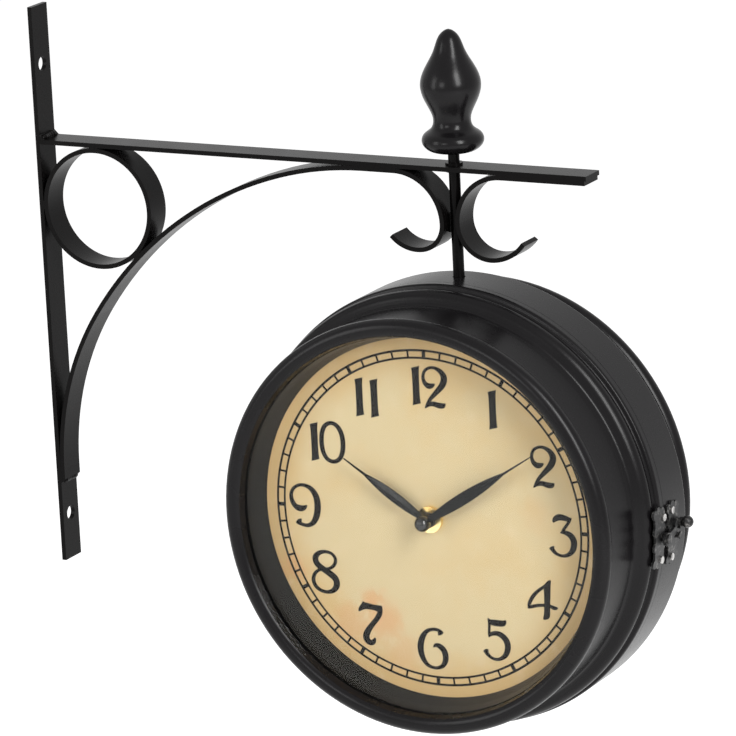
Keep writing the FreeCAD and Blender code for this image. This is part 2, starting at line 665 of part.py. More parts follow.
# ================================================================ hands
def leaf_hand(length, leaf, hub_r, bore_r, a, angle):
    """Leaf shaped hand with a needle point, turned clockwise from 12."""
    neck_z = hub_r * HAND_NECK_AT
    wide_z = length * LEAF_WIDEST_AT
    needle_z = length * NEEDLE_FROM
    wide = leaf / 2

    def to_space(point):
        return Vector(point[0], -a, point[1])
    wire = outline(to_space, (-HAND_NECK / 2, neck_z),
                   ((-wide, wide_z), (-HAND_NEEDLE / 2, needle_z)), (-HAND_TIP / 2, length),
                   (HAND_TIP / 2, length), (HAND_NEEDLE / 2, needle_z),
                   ((wide, wide_z), (HAND_NECK / 2, neck_z)))
    hand = Part.Face(wire).extrude(Vector(0, -HAND_THICK, 0))
    hand = hand.fuse(disc(hub_r, a, a + HAND_THICK)).removeSplitter()
    hand = hand.cut(disc(bore_r, a, a + HAND_THICK))
    hand.rotate(ORIGIN, DIAL_AXIS, angle)
    return hand


def hour_hand():
    bore = HOUR_TUBE_R + THREAD_CLEAR
    return leaf_hand(HOUR_LENGTH, HOUR_LEAF, HOUR_HUB_R, bore, HOUR_HAND_A, HOUR_ANGLE)


def minute_hand():
    bore = MINUTE_SHAFT_R + THREAD_CLEAR
    return leaf_hand(MINUTE_LENGTH, MINUTE_LEAF, MINUTE_HUB_R, bore, MINUTE_HAND_A, MINUTE_ANGLE)


def hour_tube():
    top = HOUR_HAND_A + HAND_THICK + HOUR_TUBE_PROUD
    tube = disc(HOUR_TUBE_R, HOUR_TUBE_BACK_A + RUNNING_CLEAR, top)
    return tube.cut(disc(MINUTE_SHAFT_R + RUNNING_CLEAR, HOUR_TUBE_BACK_A, top))


SHAFT_TOP_A = MINUTE_HAND_A + HAND_THICK + SHAFT_PROUD


def minute_shaft():
    return disc(MINUTE_SHAFT_R, SHAFT_BACK_A + RUNNING_CLEAR, SHAFT_TOP_A)


def minute_cap():
    """Ball nut on a collar, on the end of the minute shaft."""
    collar_a = MINUTE_HAND_A + HAND_THICK
    ball = Part.makeSphere(CAP_R, Vector(0, -CAP_A, 0))
    cap = ball.fuse(disc(CAP_COLLAR_R, collar_a, CAP_A))
    below = disc(2 * CAP_R, CAP_A - 2 * CAP_R, collar_a)
    bore = disc(MINUTE_SHAFT_R + THREAD_CLEAR, collar_a, SHAFT_TOP_A + CAP_BORE_SPARE)
    return cap.cut(below).cut(bore)


# ================================================================ hanger, hinge, latch
def hanger_block():
    """Saddle inside the top of the rear half, which rides on the rod's washer."""
    low, high = HANGER_A
    body = block((-HANGER_HALF_X, HANGER_HALF_X), (-high, -low), (HANGER_FLOOR_Z, BAND_R))
    room = ring_solid((0, NECK_FRONT_A), *rear_inner_line(STACK_CLEAR), (BAND_R - SHEET - STACK_CLEAR, 0),
                      (0, 0))
    body = body.common(room)
    bore = Part.makeCylinder(ROD_R + RUNNING_CLEAR, BAND_R, Vector(0, -ROD_BEHIND_SEAM, 0), UP)
    return body.cut(bore)


HINGE_X = -(BAND_R + HINGE_OUT)


def hinge_leaf(side):
    """Curved leaf on the band with its knuckles; side 1 is the door, -1 the case."""
    edge = SEAM_GAP
    sheet = ring_solid((BAND_R, edge), (BAND_R, HINGE_LEAF_A),
                       (BAND_R + HINGE_LEAF_THICK, HINGE_LEAF_A), (BAND_R + HINGE_LEAF_THICK, edge))
    window = block((-BAND_R - HINGE_OUT, 0), (-BAND_R, BAND_R), (-HINGE_HALF_Z, HINGE_HALF_Z))
    leaf = sheet.common(window)
    if side < 0:
        leaf = leaf.mirror(ORIGIN, DIAL_AXIS)
    middle = [(-KNUCKLE_HALF_Z, KNUCKLE_HALF_Z)]
    far = KNUCKLE_HALF_Z + KNUCKLE_END_GAP
    ends = [(-HINGE_HALF_Z, -far), (far, HINGE_HALF_Z)]
    own, other = (middle, ends) if side > 0 else (ends, middle)
    for low, high in own:
        leaf = leaf.fuse(pin_round(KNUCKLE_R, low, high))
    for low, high in other:
        low, high = low - KNUCKLE_END_GAP, high + KNUCKLE_END_GAP
        leaf = leaf.cut(pin_round(KNUCKLE_R + KNUCKLE_SIDE_GAP, low, high))
    return leaf.cut(pin_round(PIN_R + RUNNING_CLEAR, -HINGE_HALF_Z, HINGE_HALF_Z)).removeSplitter()


def pin_round(radius, low, high):
    """Round piece about the hinge pin."""
    return Part.makeCylinder(radius, high - low, Vector(HINGE_X, 0, low), UP)


def hinge_pin():
    shank = pin_round(PIN_R, -HINGE_HALF_Z - PIN_HEAD_LONG, HINGE_HALF_Z)
    for low in (-HINGE_HALF_Z - PIN_HEAD_LONG, HINGE_HALF_Z):
        shank = shank.fuse(pin_round(PIN_HEAD_R, low, low + PIN_HEAD_LONG))
    return shank.removeSplitter()


def outward(radius, low, high, a, z):
    """Round piece pointing out of the band at 3 o'clock."""
    return Part.makeCylinder(radius, high - low, Vector(low, -a, z), Vector(1, 0, 0))


def scalloped_plate(a_range, z_range, screws):
    """Latch plate with scalloped edges, bent to the band's curve."""
    inner = BAND_R + PLATE_PROUD
    low, high = a_range
    bottom, top = z_range
    outside = BAND_R + TOOL_REACH
    inset = PLATE_CORE_INSET
    shape = block((0, outside), (-high + inset, -low - inset), (bottom + inset, top - inset))
    pitch = (top - bottom - 2 * PLATE_LOBE_R) / (PLATE_LOBES - 1)
    for k in range(PLATE_LOBES):
        for a in (low + PLATE_LOBE_R, high - PLATE_LOBE_R):
            lobe = outward(PLATE_LOBE_R, 0, outside, a, bottom + PLATE_LOBE_R + pitch * k)
            shape = shape.fuse(lobe)
    for z in (top - PLATE_TIP_INSET, bottom + PLATE_TIP_INSET):
        shape = shape.fuse(outward(PLATE_LOBE_R, 0, outside, (low + high) / 2, z))
    sheet = ring_solid((inner, low), (inner, high), (inner + PLATE_THICK, high), (inner + PLATE_THICK, low))
    plate = sheet.common(shape)
    for a, z in screws:
        plate = plate.cut(outward(SCREW_SHANK_R + STACK_CLEAR, 0, outside, a, z))
    return plate


PLATE_FACE = BAND_R + PLATE_PROUD + PLATE_THICK


def plate_screws(screws):
    """Round headed screws through a latch plate, their shanks ending in the band."""
    pieces = []
    for a, z in screws:
        nearest = max(abs(z) - SCREW_HEAD_R, 0.0)
        face = sqrt(PLATE_FACE ** 2 - nearest ** 2)
        shank = outward(SCREW_SHANK_R, face - PLATE_THICK - PLATE_PROUD, face, a, z)
        pieces.append(shank.fuse(outward(SCREW_HEAD_R, face, face + SCREW_HEAD_H, a, z)))
    return Part.makeCompound(pieces)


def latch_plate():
    plate = scalloped_plate(FRONT_PLATE_A, FRONT_PLATE_Z, FRONT_SCREWS)
    return plate.cut(outward(LATCH_PIN_R + THREAD_CLEAR, 0, HOOK_X, LATCH_PIVOT_A, LATCH_PIVOT_Z))


def latch_pivot():
    """Headed pin that the hook swings on."""
    low = BAND_R + PLATE_PROUD
    top = HOOK_X + HOOK_THICK + STACK_CLEAR
    pin = outward(LATCH_PIN_R, low, top, LATCH_PIVOT_A, LATCH_PIVOT_Z)
    head = outward(LATCH_PIN_HEAD_R, top, top + LATCH_PIN_HEAD_THICK, LATCH_PIVOT_A, LATCH_PIVOT_Z)
    return pin.fuse(head)


def stud_place():
    """Height a and z of the keeper stud, where the dropped hook closes over it."""
    angle = HOOK_REST_ANGLE - HOOK_DROP
    a = LATCH_PIVOT_A - HOOK_REACH * cos(radians(angle))
    return a, LATCH_PIVOT_Z + HOOK_REACH * sin(radians(angle))


def keeper_plate():
    low, high = KEEPER_PLATE_A
    plate = scalloped_plate((-high, -low), KEEPER_PLATE_Z, [(-a, z) for a, z in KEEPER_SCREWS])
    a, z = stud_place()
    return plate.cut(outward(STUD_R + THREAD_CLEAR, 0, HOOK_X, a, z))


def keeper_stud():
    a, z = stud_place()
    top = HOOK_X + HOOK_THICK + STUD_CLEAR
    stud = outward(STUD_R, BAND_R + PLATE_PROUD, top, a, z)
    return stud.fuse(outward(STUD_HEAD_R, top, top + LATCH_PIN_HEAD_THICK, a, z))


def latch_hook():
    """Swing hook: eye on the pivot, arm, and a notch open downwards for the stud."""
    low, high = HOOK_X, HOOK_X + HOOK_THICK
    a0, z0 = LATCH_PIVOT_A, LATCH_PIVOT_Z
    eye = outward(HOOK_EYE_R, low, high, a0, z0)
    end = HOOK_REACH + HOOK_TAIL
    arm = block((low, high), (-a0, -a0 + end), (z0 - HOOK_HALF_WIDTH, z0 + HOOK_HALF_WIDTH))
    nose = outward(HOOK_HALF_WIDTH, low, high, a0 - end, z0)
    hook = eye.fuse(arm).fuse(nose)
    boss = outward(HOOK_EYE_R, low, high, a0 - HOOK_REACH, z0 + HOOK_BOSS_RISE)
    hook = hook.fuse(boss)
    slot = STUD_R + STUD_CLEAR
    ring = outward(HOOK_REACH + slot, low, high, a0, z0)
    ring = ring.cut(outward(HOOK_REACH - slot, low, high, a0, z0))
    lower = block((low, high), (-a0, -a0 + end), (z0 - end, z0))
    hook = hook.cut(ring.common(lower)).cut(outward(slot, low, high, a0 - HOOK_REACH, z0))
    hook = hook.cut(outward(LATCH_PIN_R + RUNNING_CLEAR, low, high, a0, z0))
    hook.rotate(Vector(0, -a0, z0), Vector(1, 0, 0), HOOK_REST_ANGLE)
    return hook


def latch_knob():
    """Ball knob riveted on the hook's free end."""
    reach = HOOK_REACH + HOOK_TAIL - BALL_INSET
    a = LATCH_PIVOT_A - reach * cos(radians(HOOK_REST_ANGLE))
    z = LATCH_PIVOT_Z + reach * sin(radians(HOOK_REST_ANGLE))
    top = HOOK_X + HOOK_THICK
    ball = Part.makeSphere(BALL_R, Vector(top + BALL_OUT, -a, z))
    knob = ball.fuse(outward(BALL_STEM_R, top, top + BALL_OUT, a, z))
    return knob.cut(outward(BALL_R, top - BALL_R, top, a, z))


# ================================================================ placing and export
def place(shape, side):
    """Move a piece from the clock frame to the row; the rear half faces +Y."""
    placed = shape.copy()
    if side == "rear":
        placed.rotate(ORIGIN, UP, 180)
    placed.translate(Vector(ROD_X, SEAM_Y, CASE_Z))
    return placed


def rod_opening():
    """Clearance hole for the rod in the rear half's sheet."""
    radius = ROD_R + 2 * ROD_HOLE_CLEAR
    return Part.makeCylinder(radius, BAND_R + TOOL_REACH, Vector(0, -ROD_BEHIND_SEAM, 0), UP)


def bracket_nodes():
    strip, arm, ring = wall_strip(), arm_bar(), corner_ring()
    brace, scroll, rod = brace_scroll(), end_scroll(), hanger_rod()
    return {
        "wall_strip": strip,
        "arm_bar": arm,
        "corner_ring": ring,
        "brace_scroll": brace,
        "end_scroll": scroll,
        "weld_beads": weld_beads(strip, arm, ring, brace, scroll, rod),
        "hanger_rod": rod,
        "finial": finial(),
        "rod_washer": rod_washer(),
        "rod_nut": rod_nut(),
    }


def side_nodes(side):
    """What the two halves of the clock share."""
    makers = {
        "bezel": bezel, "glass": glass, "glass_ring": glass_ring, "dial_surround": dial_surround,
        "dial": dial, "dial_pad": dial_pad, "dial_nut": dial_nut, "movement": movement,
        "battery": battery, "set_knob": set_knob, "hour_hand": hour_hand, "hour_tube": hour_tube,
        "minute_hand": minute_hand, "minute_shaft": minute_shaft, "minute_cap": minute_cap,
    }
    return {side + "_" + name: place(make(), side) for name, make in makers.items()}


def case_nodes():
    keeper = [(-a, z) for a, z in KEEPER_SCREWS]
    return {
        "front_shell": place(front_shell(), "front"),
        "rear_shell": place(rear_shell().cut(rod_opening()), "rear"),
        "hanger_block": place(hanger_block(), "rear"),
        "hinge_case_leaf": place(hinge_leaf(-1), "front"),
        "hinge_door_leaf": place(hinge_leaf(1), "front"),
        "hinge_pin": place(hinge_pin(), "front"),
        "latch_plate": place(latch_plate(), "front"),
        "latch_screws": place(plate_screws(FRONT_SCREWS), "front"),
        "latch_pivot": place(latch_pivot(), "front"),
        "latch_hook": place(latch_hook(), "front"),
        "latch_knob": place(latch_knob(), "front"),
        "keeper_plate": place(keeper_plate(), "front"),
        "keeper_screws": place(plate_screws(keeper), "front"),
        "keeper_stud": place(keeper_stud(), "front"),
    }


def main():
    os.makedirs("parts", exist_ok=True)
    nodes = bracket_nodes()
    nodes.update(case_nodes())
    for side in ("front", "rear"):
        nodes.update(side_nodes(side))
    for name, shape in nodes.items():
        if not shape.isValid():
            raise ValueError(name + " is not a valid solid")
        shape.exportStep("parts/" + name + ".step")
        box = shape.BoundBox
        print("%-20s %2d solids %9.1f mm3  x %7.1f %7.1f  y %7.1f %7.1f  z %7.1f %7.1f" % (
            name, len(shape.Solids), shape.Volume, box.XMin, box.XMax,
            box.YMin, box.YMax, box.ZMin, box.ZMax))


main()
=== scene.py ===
from math import cos, degrees, radians, sin

import bpy
import numpy as np
from bpy.props import FloatProperty, FloatVectorProperty, PointerProperty
from mathutils import Matrix, Vector


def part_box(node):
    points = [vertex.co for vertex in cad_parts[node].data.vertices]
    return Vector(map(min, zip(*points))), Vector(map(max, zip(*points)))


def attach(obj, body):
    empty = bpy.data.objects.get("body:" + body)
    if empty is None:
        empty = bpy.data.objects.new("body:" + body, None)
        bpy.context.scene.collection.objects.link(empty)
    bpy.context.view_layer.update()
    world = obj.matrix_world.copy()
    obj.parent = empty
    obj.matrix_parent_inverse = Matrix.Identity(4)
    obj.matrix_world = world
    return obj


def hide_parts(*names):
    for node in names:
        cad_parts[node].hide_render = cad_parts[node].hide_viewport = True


bl_info = {
    "name": "Double Sided Station Clock",
    "version": (1, 0, 0),
    "blender": (4, 5, 0),
    "location": "View3D > Sidebar > Station Clock",
    "description": "Finishes a two dial wall clock: paint, printed dials, welds, latch and studio",
    "category": "Object",
}

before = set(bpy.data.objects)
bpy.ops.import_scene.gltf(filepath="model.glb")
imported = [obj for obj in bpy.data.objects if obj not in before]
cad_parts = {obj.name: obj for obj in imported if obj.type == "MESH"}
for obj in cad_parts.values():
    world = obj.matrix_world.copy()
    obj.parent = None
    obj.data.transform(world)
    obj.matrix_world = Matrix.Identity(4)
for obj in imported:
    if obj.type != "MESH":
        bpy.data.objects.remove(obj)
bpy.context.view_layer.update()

MM = 0.001


def middle(node):
    """Middle of a node's box, in metres."""
    low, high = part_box(node)
    return (low + high) / 2


DIAL_X = middle("front_dial").x
DIAL_Z = middle("front_dial").z
DIAL_RADIUS = (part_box("front_dial")[1].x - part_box("front_dial")[0].x) / 2
FRONT_PAPER_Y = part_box("front_dial")[0].y
REAR_PAPER_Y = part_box("rear_dial")[1].y


# ---------------------------------------------------------------- shader sums


class Wire:
    """A node socket that can be used in sums: each operator adds one Math node."""

    def __init__(self, tree, socket=None):
        self.tree = tree
        self.socket = socket

    def node(self, kind, settings=(), inputs=(), output=0):
        """Any other node. Settings go in first, then the values or links of its sockets."""
        made = self.tree.nodes.new(kind)
        for name, value in dict(settings).items():
            setattr(made, name, value)
        for name, value in dict(inputs).items():
            if isinstance(value, Wire):
                self.tree.links.new(value.socket, made.inputs[name])
            else:
                made.inputs[name].default_value = value
        return Wire(self.tree, made.outputs[output] if made.outputs else None)

    def outputs(self):
        """All outputs of this wire's node, each as a wire, by name."""
        return {socket.name: Wire(self.tree, socket) for socket in self.socket.node.outputs}

    def sum(self, operation, first, second=0.0):
        return self.node("ShaderNodeMath", {"operation": operation}, {0: first, 1: second})

    def __add__(self, other):
        return self.sum("ADD", self, other)

    __radd__ = __add__

    def __sub__(self, other):
        return self.sum("SUBTRACT", self, other)

    def __rsub__(self, other):
        return self.sum("SUBTRACT", other, self)

    def __mul__(self, other):
        return self.sum("MULTIPLY", self, other)

    __rmul__ = __mul__

    def __truediv__(self, other):
        return self.sum("DIVIDE", self, other)

    def __pow__(self, other):
        return self.sum("POWER", self, other)

    def step(self, low, high):
        """0 below low, 1 above high and a smooth rise between; high may be the lower one."""
        settings = {"interpolation_type": "SMOOTHSTEP"}
        inputs = {"Value": self, "From Min": low, "From Max": high}
        return self.node("ShaderNodeMapRange", settings, inputs)

    def mix(self, first, second):
        """Colour first where this is 0, and second where it is 1."""
        return self.node("ShaderNodeMix", {"data_type": "RGBA"}, {0: self, 6: first, 7: second}, 2)

    def noise(self, place, scale, detail=3.0, roughness=0.55):
        inputs = {"Vector": place, "Scale": scale, "Detail": detail, "Roughness": roughness}
        return self.node("ShaderNodeTexNoise", {}, inputs)

    def bump(self, height, strength, distance):
        inputs = {"Height": height, "Strength": strength, "Distance": distance}
        return self.node("ShaderNodeBump", {}, inputs)


def shade(red, green, blue):
    """A colour as it looks on a screen, 0 to 255, made linear."""
    return tuple((value / 255.0) ** 2.2 for value in (red, green, blue)) + (1.0,)


def new_material(name):
    """An empty material, the wire that its nodes grow from, and its object coordinates."""
    material = bpy.data.materials.new(name)
    material.use_nodes = True
    material.node_tree.nodes.clear()
    wire = Wire(material.node_tree)
    return material, wire, wire.node("ShaderNodeTexCoord", {}, {}, "Object")


def surface(wire, **inputs):
    """The Principled shader and the output; underscores in a name stand for spaces."""
    named = {name.replace("_", " "): value for name, value in inputs.items()}
    shader = wire.node("ShaderNodeBsdfPrincipled", {}, named)
    wire.node("ShaderNodeOutputMaterial", {}, {"Surface": shader})


# Scales of the patterns in the paint, in waves to a metre, and the depth of its peel in metres.
MOTTLE_SCALE = 35.0
PEEL_SCALE = 620.0
DUST_SCALE = 1900.0
PEEL_DEPTH = 0.0004
PEEL_STRENGTH = 0.035
SOFT_SHINE = 0.13      # the paint's specular level, low because it mirrors a white room
BRACKET_SHINE = 0.06   # lower still, because the flat bars are seen at a low angle
DEEP_SHINE = 0.12      # of the recess and the hands
CAP_SHINE = 0.5        # of the ball in the middle
DEEP_PEEL = 0.3        # share of the peel that the recess and the hands have
CAP_PEEL = 0.2
CASTING_PEEL = 1.6


def satin_paint(name, colour, gloss, peel=1.0, shine=SOFT_SHINE):
    """Satin black paint: orange peel, a faint mottle, and small dust specks that dull it."""
    material, wire, place = new_material(name)
    mottle = wire.noise(place, MOTTLE_SCALE, 4.0)
    peel_noise = wire.noise(place, PEEL_SCALE, 2.0)
    dust = wire.noise(place, DUST_SCALE, 1.0).step(0.66, 0.74)
    lighter = tuple(channel * 1.35 for channel in colour[:3]) + (1.0,)
    worn = mottle.step(0.35, 0.7)
    base = (dust * 0.35 + worn * 0.5).mix(colour, lighter)
    roughness = gloss + (mottle - 0.5) * 0.12 + dust * 0.10
    normal = wire.bump(peel_noise + dust * 0.15, PEEL_STRENGTH * peel, PEEL_DEPTH)
    surface(wire, Base_Color=base, Roughness=roughness, Normal=normal, Specular_IOR_Level=shine)
    return material


# ---------------------------------------------------------------- meshes from numpy


def grid_faces(rows, columns, wrap_rows=False, wrap_columns=False):
    """Quads of a grid of points, numbered row by row, that may close on itself either way."""
    row = np.arange(rows if wrap_rows else rows - 1)[:, None]
    column = np.arange(columns if wrap_columns else columns - 1)[None, :]
    next_row = (row + 1) % rows
    next_column = (column + 1) % columns
    corners = [row * columns + column, next_row * columns + column,
               next_row * columns + next_column, row * columns + next_column]
    return np.stack([np.broadcast_to(c, (row.size, column.size)).ravel() for c in corners], 1)


def new_piece(name, points, faces, material, smooth=True):
    """A mesh object at the origin from an array of points and an array of faces."""
    mesh = bpy.data.meshes.new(name)
    mesh.from_pydata(points.tolist(), [], faces.tolist())
    mesh.validate()
    mesh.shade_smooth() if smooth else mesh.shade_flat()
    mesh.materials.append(material)
    piece = bpy.data.objects.new(name, mesh)
    bpy.context.scene.collection.objects.link(piece)
    return piece


def joined(parts):
    """Several (points, faces) pairs as one pair."""
    points = []
    faces = []
    count = 0
    for part_points, part_faces in parts:
        points.append(part_points)
        faces.append(part_faces + count)
        count += len(part_points)
    return np.concatenate(points), np.concatenate(faces)


# ---------------------------------------------------------------- dial print

# One numeral is a few brush strokes. A stroke lists x, y and the brush's width, in mm, from
# the numeral's middle; the numerals stand 22 mm tall.
STROKES = {
    "0": [[(-6.3, 0, 2.3), (-5.7, 4.9, 2.2), (-3.6, 8.9, 1.9), (0, 10.5, 1.7), (3.6, 8.9, 2.1),
           (5.8, 4.9, 2.4), (6.4, 0, 2.4), (5.8, -4.9, 2.3), (3.6, -8.9, 1.9), (0, -10.4, 1.7),
           (-3.6, -8.9, 1.9), (-5.7, -4.9, 2.2), (-6.3, 0, 2.3), (-6.25, 0.8, 2.3)]],
    "2": [[(0.4, 2.2, 0.3), (-1.4, 1.1, 2.0), (-3.5, 0.8, 2.6), (-5.5, 2.4, 2.0), (-6.3, 5.3, 1.4),
           (-5.2, 8.6, 1.2), (-2.3, 10.5, 1.1), (1.0, 10.5, 1.4), (4.3, 8.6, 2.5), (5.8, 5.5, 3.3),
           (4.5, 1.6, 3.0), (0.7, -2.6, 2.2), (-2.8, -6.4, 1.5), (-5.2, -10.2, 0.9)],
          [(-6.0, -11.3, 0.3), (-3.9, -9.3, 1.7), (-1.0, -8.6, 2.2), (2.2, -9.2, 2.6),
           (4.5, -9.1, 2.3), (6.0, -7.8, 0.3)]],
    "3": [[(-5.0, 6.6, 0.3), (-4.2, 8.3, 2.0), (-1.8, 9.8, 2.9), (1.3, 9.7, 2.6), (3.8, 9.2, 2.1),
           (5.6, 9.9, 0.3)],
          [(5.0, 9.4, 0.9), (2.6, 5.9, 1.2), (-0.3, 2.0, 1.2)],
          [(-1.4, 1.6, 0.3), (1.6, 1.9, 1.9), (4.8, 0.4, 2.9), (6.4, -3.1, 3.2), (5.3, -7.4, 2.6),
           (2.5, -10.0, 1.6), (-0.9, -10.7, 1.2), (-4.1, -9.7, 1.4), (-5.9, -8.0, 1.9),
           (-7.0, -7.6, 0.6)],
          [(-7.9, -7.7, 0.3), (-6.4, -7.2, 1.5), (-4.9, -5.9, 0.3)]],
    "4": [[(5.2, 10.8, 0.3), (4.1, 9.3, 2.0), (3.1, 6.9, 3.3), (2.9, 2.5, 3.2), (2.6, -3.3, 2.9),
           (2.3, -8.1, 3.1), (1.4, -9.5, 2.3), (0.1, -10.7, 0.3)],
          [(4.4, 9.4, 1.0), (1.2, 6.9, 1.2), (-2.0, 4.6, 1.3), (-4.9, 1.7, 1.6), (-7.0, -1.6, 1.6),
           (-8.2, -4.7, 1.3)],
          [(-8.8, -5.3, 0.8), (-6.1, -4.4, 1.4), (-2.8, -3.5, 1.3), (0.5, -3.1, 1.2),
           (3.9, -3.1, 1.3), (6.8, -4.0, 1.7), (8.9, -3.7, 0.3)]],
    "5": [[(-4.5, 11.3, 0.3), (-3.6, 9.7, 1.8), (-1.6, 9.1, 2.9), (1.0, 9.0, 3.0), (3.6, 9.1, 2.9),
           (5.0, 9.8, 2.0), (5.8, 11.2, 0.3)],
          [(-3.7, 9.9, 1.2), (-3.9, 6.1, 1.1), (-4.3, 1.6, 1.0)],
          [(-4.6, 0.9, 0.3), (-3.0, 2.6, 1.5), (-0.4, 3.4, 2.1), (2.8, 2.7, 2.7), (5.5, 0.2, 3.1),
           (6.4, -3.5, 3.0), (5.0, -7.7, 2.4), (2.0, -10.2, 1.5), (-1.0, -10.8, 1.2),
           (-4.0, -9.8, 1.3), (-6.0, -7.9, 1.9), (-7.0, -7.2, 0.6)],
          [(-8.0, -7.2, 0.3), (-6.4, -6.9, 1.9), (-4.8, -5.9, 0.3)]],
    "6": [[(3.4, 7.5, 0.3), (4.6, 8.7, 2.0), (6.7, 9.4, 0.3)],
          [(6.2, 9.5, 0.6), (3.2, 10.3, 1.4), (0.1, 10.3, 1.3), (-3.2, 8.9, 1.8), (-5.9, 5.2, 2.8),
           (-7.2, 0.2, 3.2), (-6.5, -4.8, 2.8), (-4.0, -8.9, 1.9), (-0.7, -10.5, 1.3),
           (2.7, -10.4, 1.4), (5.8, -8.6, 2.1), (7.3, -4.8, 2.9), (6.6, -0.9, 3.0),
           (4.3, 1.3, 2.6), (1.9, 1.9, 1.6), (0.3, 0.5, 0.3)]],
    "7": [[(-7.1, 6.1, 0.3), (-5.8, 7.8, 2.0), (-3.5, 9.4, 3.2), (-0.8, 9.4, 2.9), (2.1, 9.1, 2.6),
           (4.6, 8.9, 3.2), (7.0, 10.3, 0.3)],
          [(-4.3, 11.9, 0.3), (-4.0, 10.4, 2.0), (-3.4, 9.0, 2.2)],
          [(6.5, 9.9, 0.8), (5.4, 6.3, 2.5), (3.3, 2.8, 2.4), (0.4, -0.6, 2.4), (-2.1, -4.0, 3.0),
           (-3.4, -7.3, 3.4), (-2.4, -9.7, 3.1), (-0.3, -10.4, 2.5), (1.2, -9.3, 1.9),
           (2.0, -7.4, 0.3)]],
    "8": [[(0.7, 10.9, 1.3), (-3.0, 9.9, 2.0), (-5.4, 7.1, 3.0), (-4.6, 3.8, 3.0), (-1.3, 1.3, 3.0),
           (2.7, -0.9, 3.2), (5.9, -3.5, 3.3), (6.5, -6.8, 3.2), (4.6, -9.8, 2.4),
           (1.0, -11.2, 1.5), (-3.0, -10.7, 1.5), (-6.1, -8.5, 1.8), (-7.3, -5.0, 1.8),
           (-6.0, -1.5, 1.5), (-3.1, 0.6, 1.2), (0.5, 1.4, 1.1), (3.6, 2.3, 1.3), (5.9, 4.6, 1.5),
           (6.4, 7.5, 1.5), (4.3, 10.1, 1.3), (0.7, 10.9, 1.3), (0.0, 10.8, 1.3)]],
    "9": [[(1.4, 0.3, 0.3), (-0.8, -1.3, 2.3), (-3.3, -1.7, 3.0), (-5.8, -0.6, 2.5),
           (-7.5, 2.2, 2.2), (-7.9, 5.5, 1.7), (-6.3, 8.8, 1.4), (-3.0, 10.9, 1.3),
           (0.8, 11.0, 1.6), (4.4, 9.3, 2.5), (6.9, 5.5, 3.2), (7.6, 0.5, 3.4), (6.8, -4.5, 3.2),
           (4.7, -8.6, 2.5), (1.6, -10.6, 1.7), (-1.3, -10.6, 1.5), (-3.9, -9.9, 1.5),
           (-5.9, -9.8, 0.3)],
          [(-5.9, -9.8, 0.3), (-3.9, -8.9, 2.0), (-2.4, -7.4, 0.3)]],
}

# Which numerals, and their middles in mm from the dial's middle, to the right and up.
NUMERALS = (
    ("1", 38.4, 61.7), ("2", 65.9, 33.5), ("3", 75.4, -2.1), ("4", 62.4, -37.4), ("5", 35.0, -61.9),
    ("6", -2.4, -70.5), ("7", -38.1, -60.8), ("8", -64.0, -34.7), ("9", -74.1, 0.3),
    ("1", -66.4, 35.8), ("0", -56.0, 36.2), ("1", -38.6, 62.2), ("1", -29.9, 62.2),
    ("1", -5.2, 71.0), ("2", 5.4, 70.6),
)

# The print, in millimetres unless it says otherwise.
SAMPLES_PER_SPAN = 6      # points to each span of a brush stroke
CIRCLE_STEPS = 360        # points round a printed circle
INK_THICK = 0.05
INK_LAYER = 0.1           # share by which each stroke of a numeral stands above the one before
TRACK_HALF = 2.0          # from the middle of the minute track to each of its lines
LINE_WIDTH = 0.65
OUTER_LINE_WIDTH = 0.75
HOUR_TICK_WIDTH = 2.1
HOUR_TICK_PAST = (0.2, 0.3)   # reach of an hour's tick past the inner and the outer line
ONE_HALF_WIDTH = 1.75
ONE_HALF_HEIGHT = 10.0
ONE_FLARE = 0.5
ONE_SLOPE = 0.75
# Section of a printed line: share of its half width, and share of the ink's thickness.
PROFILE = np.array([(-1.0, 0.0), (-0.85, 1.0), (0.85, 1.0), (1.0, 0.0)])


def smooth_path(points):
    """Catmull-Rom line through the points: each span is a cubic of its four nearest points."""
    knots = np.array(points, float)
    padded = np.concatenate([2 * knots[:1] - knots[1:2], knots, 2 * knots[-1:] - knots[-2:-1]])
    t = np.linspace(0, 1, SAMPLES_PER_SPAN, endpoint=False)[None, :, None]
    a, b, c, d = (padded[k:len(padded) - 3 + k, None, :] for k in range(4))
    cubic = 0.5 * (2 * b + (c - a) * t + (2 * a - 5 * b + 4 * c - d) * t ** 2
                   + (3 * b - a - 3 * c + d) * t ** 3)
    return np.concatenate([cubic.reshape(-1, knots.shape[1]), knots[-1:]])


def brush_stroke(points, weight):
    """A low closed ridge of ink: a flat topped profile as wide as the brush, carried along the
    path, with both ends drawn in to a point. The weight widens the brush."""
    line = smooth_path(points)
    heading = np.gradient(line[:, :2], axis=0)
    heading /= np.linalg.norm(heading, axis=1)[:, None]
    across = np.stack([-heading[:, 1], heading[:, 0]], 1)
    half = (np.maximum(line[:, 2:3], 0.2) + weight) / 2
    half[[0, -1]] = 0.01
    flat = line[:, None, :2] + PROFILE[None, :, :1] * half[:, None] * across[:, None, :]
    height = np.broadcast_to(PROFILE[None, :, 1:] * INK_THICK, (len(line), len(PROFILE), 1))
    ring = np.concatenate([flat, height], 2)
    return ring.reshape(-1, 3), closed_tube(len(line), len(PROFILE))


def closed_tube(rows, columns):
    """Faces of a tube: rings of an even number of points, with a strip of quads over both ends."""
    sides = grid_faces(rows, columns, wrap_columns=True)
    step = np.arange(columns // 2 - 1)[:, None]
    cap = np.concatenate([step, step + 1, columns - 2 - step, columns - 1 - step], 1)
    return np.concatenate([sides, cap, cap[:, ::-1] + (rows - 1) * columns])


